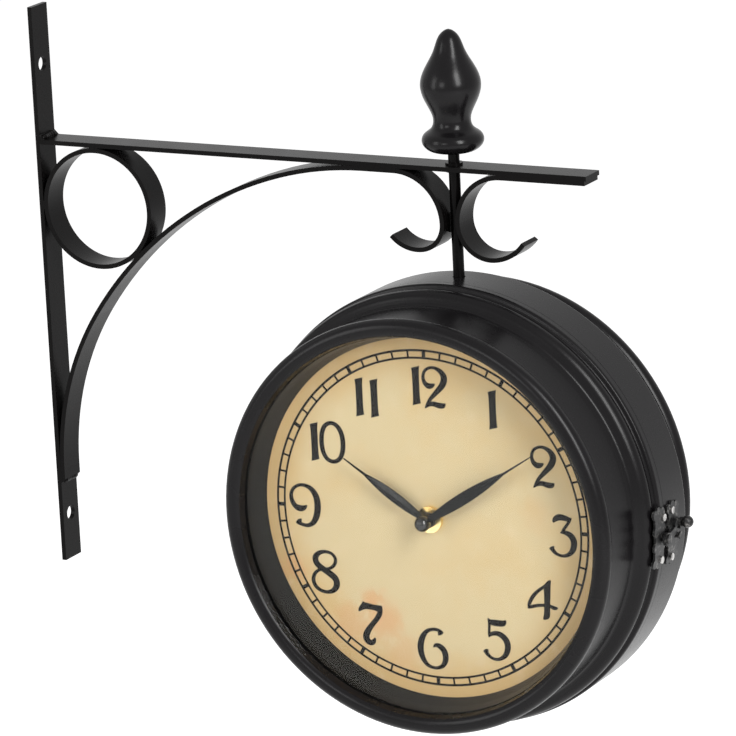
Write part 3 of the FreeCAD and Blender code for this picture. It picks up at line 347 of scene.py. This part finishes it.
def upright_one(weight):
    """The numeral 1: a bar whose half width grows with the sixth power of the height from its
    middle, so that it flares at both ends, and whose ends slope up to the right."""
    up = np.linspace(-1, 1, 15)[:, None]
    side = np.array([-1.0, -0.9, 0.9, 1.0])[None, :]
    x = side * (ONE_HALF_WIDTH + weight / 2 + ONE_FLARE * up ** 6)
    y = up * ONE_HALF_HEIGHT + side * ONE_SLOPE
    z = np.broadcast_to(np.array([0.0, 1.0, 1.0, 0.0])[None, :] * INK_THICK, x.shape)
    points = np.stack([x, np.broadcast_to(y, x.shape), z], 2).reshape(-1, 3)
    return points[::-1], closed_tube(len(up), 4)


def printed_ring(radius, width):
    """A printed circle: the ink's profile carried round a circle of that radius."""
    angle = np.linspace(0, 2 * np.pi, CIRCLE_STEPS, endpoint=False)[:, None]
    reach = radius + PROFILE[None, :, 0] * width / 2
    height = np.broadcast_to(PROFILE[None, :, 1] * INK_THICK, (len(angle), len(PROFILE)))
    points = np.stack([reach * np.sin(angle), reach * np.cos(angle), height], 2).reshape(-1, 3)
    return points, grid_faces(len(angle), len(PROFILE), True, True)


def printed_ticks(inner, outer, width, minutes):
    """Radial bars at whole minutes: the ink's profile carried from the inner to the outer line."""
    angle = np.radians(6.0 * np.array(minutes))[:, None, None]
    along = np.array([inner, outer])[None, :, None]
    across = PROFILE[None, None, :, 0] * width / 2
    x = along * np.sin(angle) + across * np.cos(angle)
    y = along * np.cos(angle) - across * np.sin(angle)
    z = np.broadcast_to(PROFILE[None, None, :, 1] * INK_THICK, x.shape)
    points = np.stack([x, y, z], 3)
    return joined([(bar.reshape(-1, 3), closed_tube(2, len(PROFILE))) for bar in points])


def dial_print(track, numeral_scale, weight):
    """All the print of one dial, in mm, to the right, up and out of the paper."""
    inner = track - TRACK_HALF
    outer = track + TRACK_HALF
    parts = [printed_ring(inner, LINE_WIDTH + weight), printed_ring(outer, OUTER_LINE_WIDTH + weight)]
    hours = [minute for minute in range(60) if minute % 5 == 0]
    minutes = [minute for minute in range(60) if minute % 5]
    parts.append(printed_ticks(inner, outer, LINE_WIDTH + weight, minutes))
    parts.append(printed_ticks(inner - HOUR_TICK_PAST[0], outer + HOUR_TICK_PAST[1],
                               HOUR_TICK_WIDTH, hours))
    for digit, x, y in NUMERALS:
        if digit == "1":
            strokes = [upright_one(weight)]
        else:
            strokes = [brush_stroke(stroke, weight) for stroke in STROKES[digit]]
        for layer, (points, faces) in enumerate(strokes):
            scale = np.array([numeral_scale, numeral_scale, 1.0 + INK_LAYER * layer])
            parts.append((points * scale + np.array([x, y, 0.0]), faces))
    return joined(parts)


def on_dial(points, paper_y, facing):
    """Dial millimetres to the frame in metres; facing is -1 for the front and 1 for the rear."""
    x, y, z = points.T * MM
    return np.stack([DIAL_X - facing * x, paper_y + facing * z, DIAL_Z + y], 1)


# Stains of the paper: x and y in mm from the dial's middle, reach in mm, and strength.
STAINS = ((-31, -58, 17, 0.55), (-38, -47, 9, 0.45), (-49, -62, 16, 0.4), (-82, -34, 12, 0.4),
          (-20, -76, 16, 0.3), (62, 8, 14, 0.12))


def aged_paper(name, paper_y, facing):
    """Tan dial paper: pale in the middle, brown at the rim, cloudy, with fibres and a few rusty
    stains low on the left. The dial's back is grey board."""
    settings = bpy.context.scene.clock_dial
    material, wire, place = new_material(name)
    apart = wire.node("ShaderNodeSeparateXYZ", {}, {"Vector": place}).outputs()
    x = (apart["X"] - DIAL_X) * (-facing / MM)
    y = (apart["Z"] - DIAL_Z) / MM
    radius = (x * x + y * y) ** 0.5
    cloud = wire.noise(place, 16.0, 5.0, 0.6)
    fine = wire.noise(place, 90.0, 5.0, 0.65)
    fibre_place = wire.node("ShaderNodeMapping", {}, {"Vector": place, "Scale": (60.0, 60.0, 900.0)})
    fibre = wire.noise(fibre_place, 1.0, 2.0)
    rim = (radius + (cloud - 0.5) * 26.0).step(66.0, 98.0)
    colour = rim.mix(tuple(settings.paper) + (1.0,), tuple(settings.paper_rim) + (1.0,))
    colour = (cloud.step(0.42, 0.66) * 0.45).mix(colour, shade(199, 168, 114))
    colour = (fine.step(0.5, 0.75) * 0.35).mix(colour, shade(216, 197, 160))
    for stain_x, stain_y, reach, strength in STAINS:
        away = ((x - stain_x) ** 2.0 + (y - stain_y) ** 2.0) ** 0.5 + (fine - 0.5) * 26.0
        colour = (away.step(reach, reach * 0.2) * strength).mix(colour, shade(202, 146, 98))
    behind = (apart["Y"] - paper_y) * (-facing / MM)
    board = (fine * 0.6).mix(shade(120, 114, 104), shade(96, 92, 86))
    colour = behind.step(0.2, 0.4).mix(colour, board)
    height = fine * 0.5 + fibre * 0.5
    surface(wire, Base_Color=colour, Roughness=0.72 + (fine - 0.5) * 0.2,
            Normal=wire.bump(height, 0.12, 0.0003), Specular_IOR_Level=0.25)
    return material


# ---------------------------------------------------------------- hands and welds

# A blade's cross section: share of the half width, and share of the rise. It is a low roof.
ROOF = np.array([(-1.0, 0.0), (-0.1, 1.0), (0.1, 1.0), (1.0, 0.0)])
BLADE_EDGE = 0.94     # the facets end just inside the edge of the flat hand below
BLADE_LIFT = 0.01     # of the facets' foot above the flat hand, in mm as are the next four
BLADE_THIN = 0.1      # rise of the ridge where the blade has no width
NECK_HALF = 1.3       # half widths at the neck and where the needle starts
NEEDLE_HALF = 0.65
NEEDLE_TAPER = 0.4    # what the half width loses along the needle
NECK_START = 0.9      # share of the hub's radius, and the next two are shares of the length
WIDEST_AT = 0.38
NEEDLE_AT = 0.74
LEAF_STEPS = 48
NEEDLE_STEPS = 12
# Radius of the hub and height of the ridge of each hand, in millimetres.
HOUR_HUB, HOUR_RIDGE = 4.0, 0.9
MINUTE_HUB, MINUTE_RIDGE = 3.8, 0.3

CAP_RADIUS = 4.2      # millimetres, as are the next two
CAP_RISE = 1.5        # of the ball's centre above its foot
CAP_SEAT = 0.03       # of the foot above the minute hand
CAP_RINGS = 28
CAP_STEPS = 48


def hand_blade(length, leaf, hub, ridge, degrees_from_12):
    """The two facets of a leaf hand, in dial millimetres from the hand's face. The half width is
    the parabola through neck, widest place and needle, then a straight taper to the tip; the
    ridge stands higher where the blade is wider."""
    neck, widest, needle = hub * NECK_START, length * WIDEST_AT, length * NEEDLE_AT
    up = np.concatenate([np.linspace(neck, needle, LEAF_STEPS, endpoint=False),
                         np.linspace(needle, length, NEEDLE_STEPS)])
    at_neck = NECK_HALF * (up - widest) * (up - needle) / ((neck - widest) * (neck - needle))
    at_widest = leaf / 2 * (up - neck) * (up - needle) / ((widest - neck) * (widest - needle))
    at_needle = NEEDLE_HALF * (up - neck) * (up - widest) / ((needle - neck) * (needle - widest))
    tip_part = NEEDLE_HALF - NEEDLE_TAPER * (up - needle) / (length - needle)
    half = np.where(up < needle, at_neck + at_widest + at_needle, tip_part) * BLADE_EDGE
    rise = BLADE_THIN + ridge * half / (leaf / 2)
    side = ROOF[None, :, 0] * half[:, None]
    out = ROOF[None, :, 1] * rise[:, None] + BLADE_LIFT
    turn = radians(degrees_from_12)
    x = side * cos(turn) + up[:, None] * sin(turn)
    y = up[:, None] * cos(turn) - side * sin(turn)
    return np.stack([x, y, out], 2).reshape(-1, 3), closed_tube(len(up), len(ROOF))


def ball_cap(radius, centre_out, foot_out):
    """Round cap nut, in dial millimetres: a sphere turned about the dial's axis, cut flat at its
    foot. The polar angle runs evenly from the front pole to the foot's edge, then in to the axis."""
    edge = np.arccos((foot_out - centre_out) / radius)
    polar = np.linspace(0.02, edge, CAP_RINGS)
    reach = np.append(radius * np.sin(polar), 0.05)[:, None]
    out = np.append(centre_out + radius * np.cos(polar), foot_out)[:, None]
    turn = np.linspace(0.0, 2 * np.pi, CAP_STEPS, endpoint=False)[None, :]
    flat_out = np.broadcast_to(out, (len(out), CAP_STEPS))
    points = np.stack([reach * np.cos(turn), reach * np.sin(turn), flat_out], 2)
    return points.reshape(-1, 3), closed_tube(len(out), CAP_STEPS)


WELD_RINGS = 73
WELD_SIDES = 20
DROPS_PER_RADIUS = 0.8    # drops of weld in a length of one radius


def weld_bead(x, z, radius, y_low, y_high, phase):
    """A run of weld across the bars, in millimetres: a circle carried along Y whose radius swells
    with every overlapping drop, and shrinks to nothing at both ends."""
    t = np.linspace(0.0, 1.0, WELD_RINGS)[:, None]
    angle = np.linspace(0.0, 2 * np.pi, WELD_SIDES, endpoint=False)[None, :]
    drops = (y_high - y_low) / radius * DROPS_PER_RADIUS
    swell = 0.10 * np.abs(np.sin(np.pi * drops * t + phase))
    ripple = 1.0 + swell + 0.05 * np.sin(7.0 * t + angle + phase)
    reach = radius * ripple * np.sqrt(np.clip(1.0 - (2.0 * t - 1.0) ** 6, 1e-6, None))
    wander = 0.12 * radius * np.sin(9.0 * t + phase)
    y = np.broadcast_to(y_low + (y_high - y_low) * t, reach.shape)
    points = np.stack([x + reach * np.cos(angle) + wander, y, z + reach * np.sin(angle)], 2)
    return points.reshape(-1, 3)[::-1], closed_tube(WELD_RINGS, WELD_SIDES)


# Where the bars meet: x and z of each run, its radius, and where it starts and ends across the
# bar, in millimetres.
WELD_RUNS = ((3.3, 85.7, 1.7, -7.6, 7.6), (3.2, 52.0, 1.5, -7.4, 7.0), (3.2, 46.3, 1.5, -7.0, 7.4),
             (33.0, 81.8, 1.4, -7.2, 7.2), (38.6, 81.8, 1.4, -7.4, 7.0), (56.6, 23.6, 1.4, -7.2, 7.4),
             (60.6, 27.0, 1.4, -7.4, 7.2), (3.3, -104.9, 1.6, -7.4, 7.4))


# ---------------------------------------------------------------- front half drum

# Section of the front half drum, in mm: radius, and height in front of its back edge. The outside
# is a smooth line: short band, groove, fat rolled ridge and tapering neck. The inside has corners.
DRUM_OUTSIDE = ((118.7, 0.0), (118.7, 1.8), (118.66, 3.9), (118.0, 5.1), (116.5, 5.6), (115.7, 6.4),
                (116.1, 7.7), (116.9, 9.4), (117.2, 11.2), (116.6, 13.2), (115.0, 15.0),
                (112.8, 16.2), (110.9, 17.4), (109.9, 19.4), (109.4, 22.3), (108.6, 27.8),
                (107.6, 36.8), (106.99, 43.85))
DRUM_INSIDE = ((105.49, 43.85), (108.05, 18.65), (112.0, 13.8), (113.5, 9.0), (114.2, 7.5),
               (117.2, 3.6), (117.2, 0.0))


DRUM_STEPS = 384          # round a full turn


def turned_drum(back_y):
    """The drum's closed section, carried in a full turn round the dial's axis, in metres."""
    section = np.concatenate([smooth_path(DRUM_OUTSIDE), np.array(DRUM_INSIDE)])
    turn = np.linspace(0.0, 2 * np.pi, DRUM_STEPS, endpoint=False)[:, None]
    reach = section[None, :, 0] * MM
    y = np.broadcast_to(back_y - section[None, :, 1] * MM, (len(turn), len(section)))
    points = np.stack([DIAL_X + reach * np.cos(turn), y, DIAL_Z + reach * np.sin(turn)], 2)
    return points.reshape(-1, 3), grid_faces(len(turn), len(section), True, True)


# ---------------------------------------------------------------- other finishes


def printers_ink():
    """Dull black ink, a little brown where it is thin."""
    material, wire, place = new_material("printers_ink")
    thin = wire.noise(place, 700.0, 3.0).step(0.5, 0.8)
    colour = (thin * 0.4).mix(shade(14, 10, 7), shade(44, 32, 22))
    surface(wire, Base_Color=colour, Roughness=0.6 + thin * 0.2, Specular_IOR_Level=0.08)
    return material


def plated(name, bright, dull, roughness, grain):
    """Plated or polished metal: fine turning lines and cloudy tarnish."""
    material, wire, place = new_material(name)
    cloud = wire.noise(place, 160.0, 4.0)
    stretched = wire.node("ShaderNodeMapping", {}, {"Vector": place, "Scale": (1.0, 12.0, 1.0)})
    lines = wire.noise(stretched, grain, 2.0)
    colour = cloud.step(0.4, 0.75).mix(bright, dull)
    surface(wire, Base_Color=colour, Metallic=1.0, Roughness=roughness + (cloud - 0.5) * 0.2,
            Normal=wire.bump(lines, 0.15, 0.0001))
    return material


def antiqued(name):
    """Dark antiqued metal: black lacquer with the pewter showing through where it is rubbed."""
    material, wire, place = new_material(name)
    rubbed = wire.noise(place, 420.0, 4.0, 0.6).step(0.52, 0.72)
    pits = wire.noise(place, 1500.0, 2.0)
    colour = rubbed.mix(shade(15, 15, 16), shade(108, 106, 104))
    surface(wire, Base_Color=colour, Metallic=0.35 + rubbed * 0.5, Roughness=0.42 - rubbed * 0.12,
            Normal=wire.bump(pits + rubbed * 0.6, 0.35, 0.00025))
    return material


def moulded(name, colour, roughness):
    """Moulded plastic or rubber with a fine grain."""
    material, wire, place = new_material(name)
    grain = wire.noise(place, 1400.0, 2.0)
    cloud = wire.noise(place, 60.0, 3.0)
    paler = tuple(min(1.0, channel * 1.4 + 0.003) for channel in colour[:3]) + (1.0,)
    surface(wire, Base_Color=(cloud * 0.5).mix(colour, paler), Roughness=roughness + grain * 0.1,
            Normal=wire.bump(grain, 0.25, 0.0002))
    return material


COPPER_FROM = (11.8, 12.2)    # from the dial's axis towards the cell's tip, in millimetres


def cell_wrap(node):
    """A plain battery sleeve: dark for most of its length and copper at the tip's end."""
    material, wire, place = new_material(node + "_wrap")
    tip_side = 1.0 if middle(node).x > DIAL_X else -1.0
    apart = wire.node("ShaderNodeSeparateXYZ", {}, {"Vector": place}).outputs()
    scuff = wire.noise(place, 300.0, 4.0)
    along = (apart["X"] - DIAL_X) * (tip_side / MM)
    colour = along.step(*COPPER_FROM).mix(shade(38, 40, 46), shade(170, 112, 70))
    surface(wire, Base_Color=colour, Roughness=0.3 + scuff * 0.15, Coat_Weight=0.3,
            Normal=wire.bump(scuff, 0.05, 0.0002))
    return material


def clear_glass():
    """Flat glass as its reflection alone: a faint mirror that lets nearly all light through."""
    material, wire, place = new_material("clear_glass")
    smear = wire.noise(place, 14.0, 3.0)
    edge_on = wire.node("ShaderNodeLayerWeight", {}, {"Blend": 0.12}, "Fresnel")
    surface(wire, Base_Color=shade(250, 253, 252), Metallic=1.0, Roughness=0.03 + smear * 0.04,
            Alpha=0.008 + edge_on * 0.25)
    return material


# ---------------------------------------------------------------- settings

FLOOR_LIFT = 0.78     # added to the floor where it is seen, so that only its shadow is not white
FLOOR_REACH = 6.0     # from the origin to the floor's edges, in metres
FLOOR_POINTS = 5      # along each side
WHITE = (1.0, 1.0, 1.0, 1.0)
# Name, place, width and height in metres, and power in watts of each lamp.
SOFT_BOXES = (("key_lamp", (1.6, -0.9, 0.9), 0.5, 1.2, 42.0),
              ("side_lamp", (-1.2, -1.7, 0.5), 0.6, 1.3, 14.0),
              ("front_lamp", (0.05, -1.7, 0.45), 0.45, 0.45, 5.0))
SKY_FOR_LIGHT = 0.2   # strength of the world as a light; where it is seen it is 1


def background_rays(wire):
    """1 for each ray that shows the background: from the camera, off gloss and through glass."""
    path = wire.node("ShaderNodeLightPath").outputs()
    seen = wire.sum("MAXIMUM", path["Is Camera Ray"], path["Is Glossy Ray"])
    return wire.sum("MAXIMUM", seen, path["Is Transmission Ray"])


class DialSettings(bpy.types.PropertyGroup):
    """Print and paper of the two dials."""

    track: FloatProperty(
        name="Minute track", description="Middle radius of the minute track in millimetres",
        default=88.0, min=40.0, max=DIAL_RADIUS / MM)
    numeral_scale: FloatProperty(
        name="Numeral scale", description="Size of the numerals, 1 being 22 mm tall",
        default=1.0, min=0.5, max=1.3)
    weight: FloatProperty(
        name="Ink weight", description="Millimetres added to the width of every printed line",
        default=0.5, min=0.0, max=1.5)
    paper: FloatVectorProperty(
        name="Paper", description="Colour of the paper in the middle of the dial",
        default=shade(200, 182, 141)[:3], min=0.0, max=1.0, subtype="COLOR")
    paper_rim: FloatVectorProperty(
        name="Paper rim", description="Colour of the paper near its edge",
        default=shade(196, 164, 112)[:3], min=0.0, max=1.0, subtype="COLOR")


class PaintSettings(bpy.types.PropertyGroup):
    """Paint of the bracket and the case."""

    black: FloatVectorProperty(
        name="Paint", description="Colour of the satin paint",
        default=shade(22, 21, 22)[:3], min=0.0, max=1.0, subtype="COLOR")
    # The bracket's black is a darker copy of the case's black: painted shade on the bars.
    bracket: FloatVectorProperty(
        name="Bracket paint", description="Colour of the bracket's paint",
        default=shade(16, 15, 15)[:3], min=0.0, max=1.0, subtype="COLOR")
    gloss: FloatProperty(
        name="Roughness", description="Roughness of the satin paint",
        default=0.27, min=0.05, max=1.0, subtype="FACTOR")


class HandSettings(bpy.types.PropertyGroup):
    """Facets of the hands, the same lengths and angles as the flat hands below them."""

    hour_length: FloatProperty(
        name="Hour hand", description="Length in millimetres", default=55.5, min=20.0, max=90.0)
    hour_leaf: FloatProperty(
        name="Hour leaf", description="Width of the leaf in millimetres", default=5.8, min=2.0,
        max=15.0)
    hour_angle: FloatProperty(
        name="Hour angle", description="Clockwise from 12", default=radians(302.4), subtype="ANGLE")
    minute_length: FloatProperty(
        name="Minute hand", description="Length in millimetres", default=75.5, min=20.0, max=90.0)
    minute_leaf: FloatProperty(
        name="Minute leaf", description="Width of the leaf in millimetres", default=6.4, min=2.0,
        max=15.0)
    minute_angle: FloatProperty(
        name="Minute angle", description="Clockwise from 12", default=radians(57.0), subtype="ANGLE")


SENSOR_WIDTH = 36.0   # millimetres
PHOTO_WIDTH = 736.0   # pixels, as is the next
PHOTO_FOCAL = 5500.0
CAMERA_REACH = 50.0   # metres


class StudioSettings(bpy.types.PropertyGroup):
    """Camera, lamps and floor."""

    focal: FloatProperty(
        name="Focal length", description="Camera's focal length on a 36 mm sensor, in millimetres",
        default=PHOTO_FOCAL / PHOTO_WIDTH * SENSOR_WIDTH, min=20.0, max=1000.0)
    azimuth: FloatProperty(
        name="Azimuth", description="Camera's turn from straight in front of the dial",
        default=radians(28.3), subtype="ANGLE")
    elevation: FloatProperty(
        name="Elevation", description="Camera's height angle", default=radians(14.71),
        subtype="ANGLE")
    roll: FloatProperty(
        name="Roll", description="Camera's roll about its own axis", default=radians(-2.8),
        subtype="ANGLE")
    place: FloatVectorProperty(
        name="Camera", description="Camera's place", default=(1.517, -2.463, 0.706), unit="LENGTH",
        subtype="TRANSLATION")
    floor: FloatProperty(
        name="Floor", description="Height of the floor", default=-0.42, unit="LENGTH")


# ---------------------------------------------------------------- operators


def finish_nodes(material, names):
    """Puts a material in every slot of each named node's object."""
    for name in names:
        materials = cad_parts[name].data.materials
        if materials:
            for index in range(len(materials)):
                materials[index] = material
        else:
            materials.append(material)


def both(*names):
    """The front and the rear node of each name."""
    return [side + name for name in names for side in ("front_", "rear_")]


class PaintBracket(bpy.types.Operator):
    """Paint the strip, arm, scrolls, rod and finial satin black"""

    bl_idname = "clock.paint_bracket"
    bl_label = "Paint bracket"

    def execute(self, context):
        settings = context.scene.clock_paint
        colour = tuple(settings.black) + (1.0,)
        # The bars get the darker black: painted shade, since they carry the same paint as the case.
        bracket_shaded_paint = satin_paint("bracket_paint_shaded", tuple(settings.bracket) + (1.0,), settings.gloss,
                            shine=BRACKET_SHINE)
        casting = satin_paint("finial_paint", colour, settings.gloss - 0.04, CASTING_PEEL)
        finish_nodes(bracket_shaded_paint, ["wall_strip", "arm_bar", "corner_ring", "brace_scroll", "end_scroll",
                             "weld_beads", "hanger_rod", "hanger_block"])
        finish_nodes(casting, ["finial"])
        zinc = plated("zinc_plate", shade(196, 198, 200), shade(150, 152, 156), 0.34, 500.0)
        finish_nodes(zinc, ["rod_washer", "rod_nut"])
        return {"FINISHED"}


class PaintCase(bpy.types.Operator):
    """Paint the two half drums, the bezels and the recess rings"""

    bl_idname = "clock.paint_case"
    bl_label = "Paint case"

    def execute(self, context):
        settings = context.scene.clock_paint
        colour = tuple(settings.black) + (1.0,)
        shell = satin_paint("case_paint", colour, settings.gloss)
        finish_nodes(shell, ["front_shell", "rear_shell"] + both("bezel"))
        # The recess rings get a darker black than the case: painted shade in the deep recess round the
        # dial.
        recess = satin_paint("recess_painted_shade", shade(17, 17, 17), settings.gloss + 0.06, DEEP_PEEL,
                             DEEP_SHINE)
        finish_nodes(recess, both("glass_ring", "dial_surround"))
        finish_nodes(clear_glass(), both("glass"))
        drum = new_piece("front_drum", *turned_drum(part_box("front_shell")[1].y), shell)
        drum.data.set_sharp_from_angle(angle=radians(35.0))
        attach(drum, "front_door")
        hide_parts("front_shell")
        return {"FINISHED"}


class FinishHardware(bpy.types.Operator):
    """Give the hinge and the latch their dark antiqued metal"""

    bl_idname = "clock.finish_hardware"
    bl_label = "Finish hardware"

    def execute(self, context):
        finish_nodes(antiqued("antiqued_metal"),
                     ["latch_plate", "latch_pivot", "latch_hook", "latch_knob", "keeper_plate",
                      "keeper_stud", "hinge_case_leaf", "hinge_door_leaf", "hinge_pin"])
        screws = plated("screw_heads", shade(196, 194, 192), shade(90, 88, 86), 0.24, 700.0)
        finish_nodes(screws, ["latch_screws", "keeper_screws"])
        return {"FINISHED"}


class FinishMovement(bpy.types.Operator):
    """Give the movements, cells, hands and nuts their materials"""

    bl_idname = "clock.finish_movement"
    bl_label = "Finish movement"

    def execute(self, context):
        plastic = moulded("movement_plastic", shade(34, 34, 36), 0.42)
        finish_nodes(plastic, both("movement", "set_knob", "hour_tube"))
        finish_nodes(moulded("soft_rubber", shade(24, 24, 24), 0.75), both("dial_pad"))
        for node in both("battery"):
            finish_nodes(cell_wrap(node), [node])
        brass = plated("bright_brass", shade(252, 228, 160), shade(222, 182, 108), 0.24, 900.0)
        finish_nodes(brass, both("dial_nut", "minute_shaft"))
        hands = satin_paint("hand_lacquer", shade(8, 8, 8), 0.2, DEEP_PEEL, DEEP_SHINE)
        finish_nodes(hands, both("hour_hand", "minute_hand"))
        cap = satin_paint("cap_lacquer", shade(8, 8, 8), 0.14, CAP_PEEL, CAP_SHINE)
        finish_nodes(cap, both("minute_cap"))
        return {"FINISHED"}


class LayWelds(bpy.types.Operator):
    """Lay a rippled run of weld along each place where two bars of the bracket meet"""

    bl_idname = "clock.lay_welds"
    bl_label = "Lay welds"

    def execute(self, context):
        runs = [weld_bead(*run, phase) for phase, run in enumerate(WELD_RUNS)]
        points, faces = joined(runs)
        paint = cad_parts["weld_beads"].data.materials[0]
        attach(new_piece("weld_ripples", points * MM, faces, paint), "bracket")
        return {"FINISHED"}


class FacetHands(bpy.types.Operator):
    """Raise the two facets of each hour and minute hand, and round the cap nut in the middle"""

    bl_idname = "clock.facet_hands"
    bl_label = "Facet hands"

    def execute(self, context):
        hands = context.scene.clock_hands
        paper_y = {"front": FRONT_PAPER_Y, "rear": REAR_PAPER_Y}
        for side, facing, near in (("front", -1, 0), ("rear", 1, 1)):
            for name, length, leaf, hub, ridge, angle in (
                    ("hour", hands.hour_length, hands.hour_leaf, HOUR_HUB, HOUR_RIDGE,
                     hands.hour_angle),
                    ("minute", hands.minute_length, hands.minute_leaf, MINUTE_HUB, MINUTE_RIDGE,
                     hands.minute_angle)):
                node = side + "_" + name + "_hand"
                face_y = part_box(node)[near].y
                points, faces = hand_blade(length, leaf, hub, ridge, degrees(angle))
                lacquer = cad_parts[node].data.materials[0]
                piece = new_piece(node + "_facets", on_dial(points, face_y, facing), faces, lacquer,
                                  False)
                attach(piece, side + "_" + name)
            cap = side + "_minute_cap"
            foot_out = abs(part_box(side + "_minute_hand")[near].y - paper_y[side]) / MM + CAP_SEAT
            points, faces = ball_cap(CAP_RADIUS, foot_out + CAP_RISE, foot_out)
            ball = new_piece(cap + "_ball", on_dial(points, paper_y[side], facing), faces,
                             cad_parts[cap].data.materials[0])
            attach(ball, side + "_minute")
            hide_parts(cap)
        return {"FINISHED"}


class PrintDials(bpy.types.Operator):
    """Make the paper and the printed numerals and minute track of both dials"""

    bl_idname = "clock.print_dials"
    bl_label = "Print dials"

    def execute(self, context):
        settings = context.scene.clock_dial
        ink = printers_ink()
        points, faces = dial_print(settings.track, settings.numeral_scale, settings.weight)
        for side, paper_y, facing, body in (("front", FRONT_PAPER_Y, -1, "front_door"),
                                            ("rear", REAR_PAPER_Y, 1, "case")):
            finish_nodes(aged_paper(side + "_dial_paper", paper_y, facing), [side + "_dial"])
            piece = new_piece(side + "_dial_print", on_dial(points, paper_y, facing), faces, ink, False)
            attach(piece, body)
        return {"FINISHED"}


class BuildStudio(bpy.types.Operator):
    """Make the floor, the light and the camera"""

    bl_idname = "clock.build_studio"
    bl_label = "Build studio"

    def execute(self, context):
        settings = context.scene.clock_studio
        scene = context.scene
        scene.view_settings.view_transform = "Standard"
        self.make_floor(settings.floor)
        self.make_world(scene)
        self.make_lamps()
        self.make_camera(scene, settings)
        return {"FINISHED"}

    def make_floor(self, height):
        """A wide flat grid that is white where it is seen and keeps the shadow."""
        side = np.linspace(-FLOOR_REACH, FLOOR_REACH, FLOOR_POINTS)
        x, y = np.meshgrid(side, side, indexing="ij")
        points = np.stack([x, y, np.full_like(x, height)], 2).reshape(-1, 3)
        material, wire, place = new_material("studio_floor")
        grain = wire.noise(place, 60.0, 2.0)
        pale = (grain * 0.06).mix(shade(250, 250, 250), shade(238, 238, 238))
        diffuse = wire.node("ShaderNodeBsdfDiffuse", {}, {"Color": pale})
        strength = background_rays(wire) * FLOOR_LIFT
        lift = wire.node("ShaderNodeEmission", {}, {"Color": WHITE, "Strength": strength})
        lifted = wire.node("ShaderNodeAddShader", {}, {0: diffuse, 1: lift})
        wire.node("ShaderNodeOutputMaterial", {}, {"Surface": lifted})
        faces = grid_faces(FLOOR_POINTS, FLOOR_POINTS)
        floor = new_piece("studio_floor", points, faces, material, False)

    def make_world(self, scene):
        """White where it is seen, off gloss and through glass too, and grey as a light."""
        world = bpy.data.worlds.new("studio_world")
        world.use_nodes = True
        world.node_tree.nodes.clear()
        wire = Wire(world.node_tree)
        strength = SKY_FOR_LIGHT + background_rays(wire) * (1.0 - SKY_FOR_LIGHT)
        light = wire.node("ShaderNodeBackground", {}, {"Color": WHITE, "Strength": strength})
        wire.node("ShaderNodeOutputWorld", {}, {"Surface": light})
        scene.world = world

    def make_lamps(self):
        """Two tall soft boxes and a small one in front, each aimed at the clock's middle."""
        target = Vector((DIAL_X, 0.0, DIAL_Z + 0.05))
        for name, place, wide, tall, power in SOFT_BOXES:
            data = bpy.data.lights.new(name, "AREA")
            data.shape = "RECTANGLE"
            data.energy = power
            data.size = wide
            data.size_y = tall
            lamp = bpy.data.objects.new(name, data)
            bpy.context.scene.collection.objects.link(lamp)
            lamp.location = place
            lamp.rotation_euler = (target - Vector(place)).to_track_quat("-Z", "Y").to_euler()

    def make_camera(self, scene, settings):
        """A long lens: back, right and up come from azimuth and elevation, then the roll."""
        az, el, roll = settings.azimuth, settings.elevation, settings.roll
        back = Vector((sin(az) * cos(el), -cos(az) * cos(el), sin(el)))
        right = Vector((cos(az), sin(az), 0.0))
        up = back.cross(right)
        turned_right = cos(roll) * right + sin(roll) * up
        turned_up = cos(roll) * up - sin(roll) * right
        data = bpy.data.cameras.new("photo_camera")
        data.sensor_width = SENSOR_WIDTH
        data.lens = settings.focal
        data.clip_end = CAMERA_REACH
        camera = bpy.data.objects.new("photo_camera", data)
        scene.collection.objects.link(camera)
        turn = Matrix((turned_right, turned_up, back)).transposed()
        camera.matrix_world = Matrix.Translation(settings.place) @ turn.to_4x4()
        scene.camera = camera


STEPS = (BuildStudio, PaintBracket, LayWelds, PaintCase, FinishHardware, FinishMovement, FacetHands,
         PrintDials)


class ClockPanel(bpy.types.Panel):
    """The clock's settings and steps in the 3D view's sidebar."""

    bl_idname = "VIEW3D_PT_station_clock"
    bl_label = "Station Clock"
    bl_space_type = "VIEW_3D"
    bl_region_type = "UI"
    bl_category = "Station Clock"

    def draw(self, context):
        for group in (getattr(context.scene, name) for name in GROUPS):
            box = self.layout.box()
            for name in group.__annotations__:
                box.prop(group, name)
        for step in STEPS:
            self.layout.operator(step.bl_idname)


GROUPS = {"clock_dial": DialSettings, "clock_paint": PaintSettings, "clock_hands": HandSettings,
          "clock_studio": StudioSettings}


def register():
    for name, group in GROUPS.items():
        bpy.utils.register_class(group)
        setattr(bpy.types.Scene, name, PointerProperty(type=group))
    for step in STEPS + (ClockPanel,):
        bpy.utils.register_class(step)


def unregister():
    for step in reversed(STEPS + (ClockPanel,)):
        bpy.utils.unregister_class(step)
    for name, group in GROUPS.items():
        delattr(bpy.types.Scene, name)
        bpy.utils.unregister_class(group)


def main():
    """Registers the add-on and runs its steps in order."""
    register()
    bpy.ops.clock.build_studio()
    bpy.ops.clock.paint_bracket()
    bpy.ops.clock.lay_welds()
    bpy.ops.clock.paint_case()
    bpy.ops.clock.finish_hardware()
    bpy.ops.clock.finish_movement()
    bpy.ops.clock.facet_hands()
    bpy.ops.clock.print_dials()


if __name__ == "__main__":
    main()
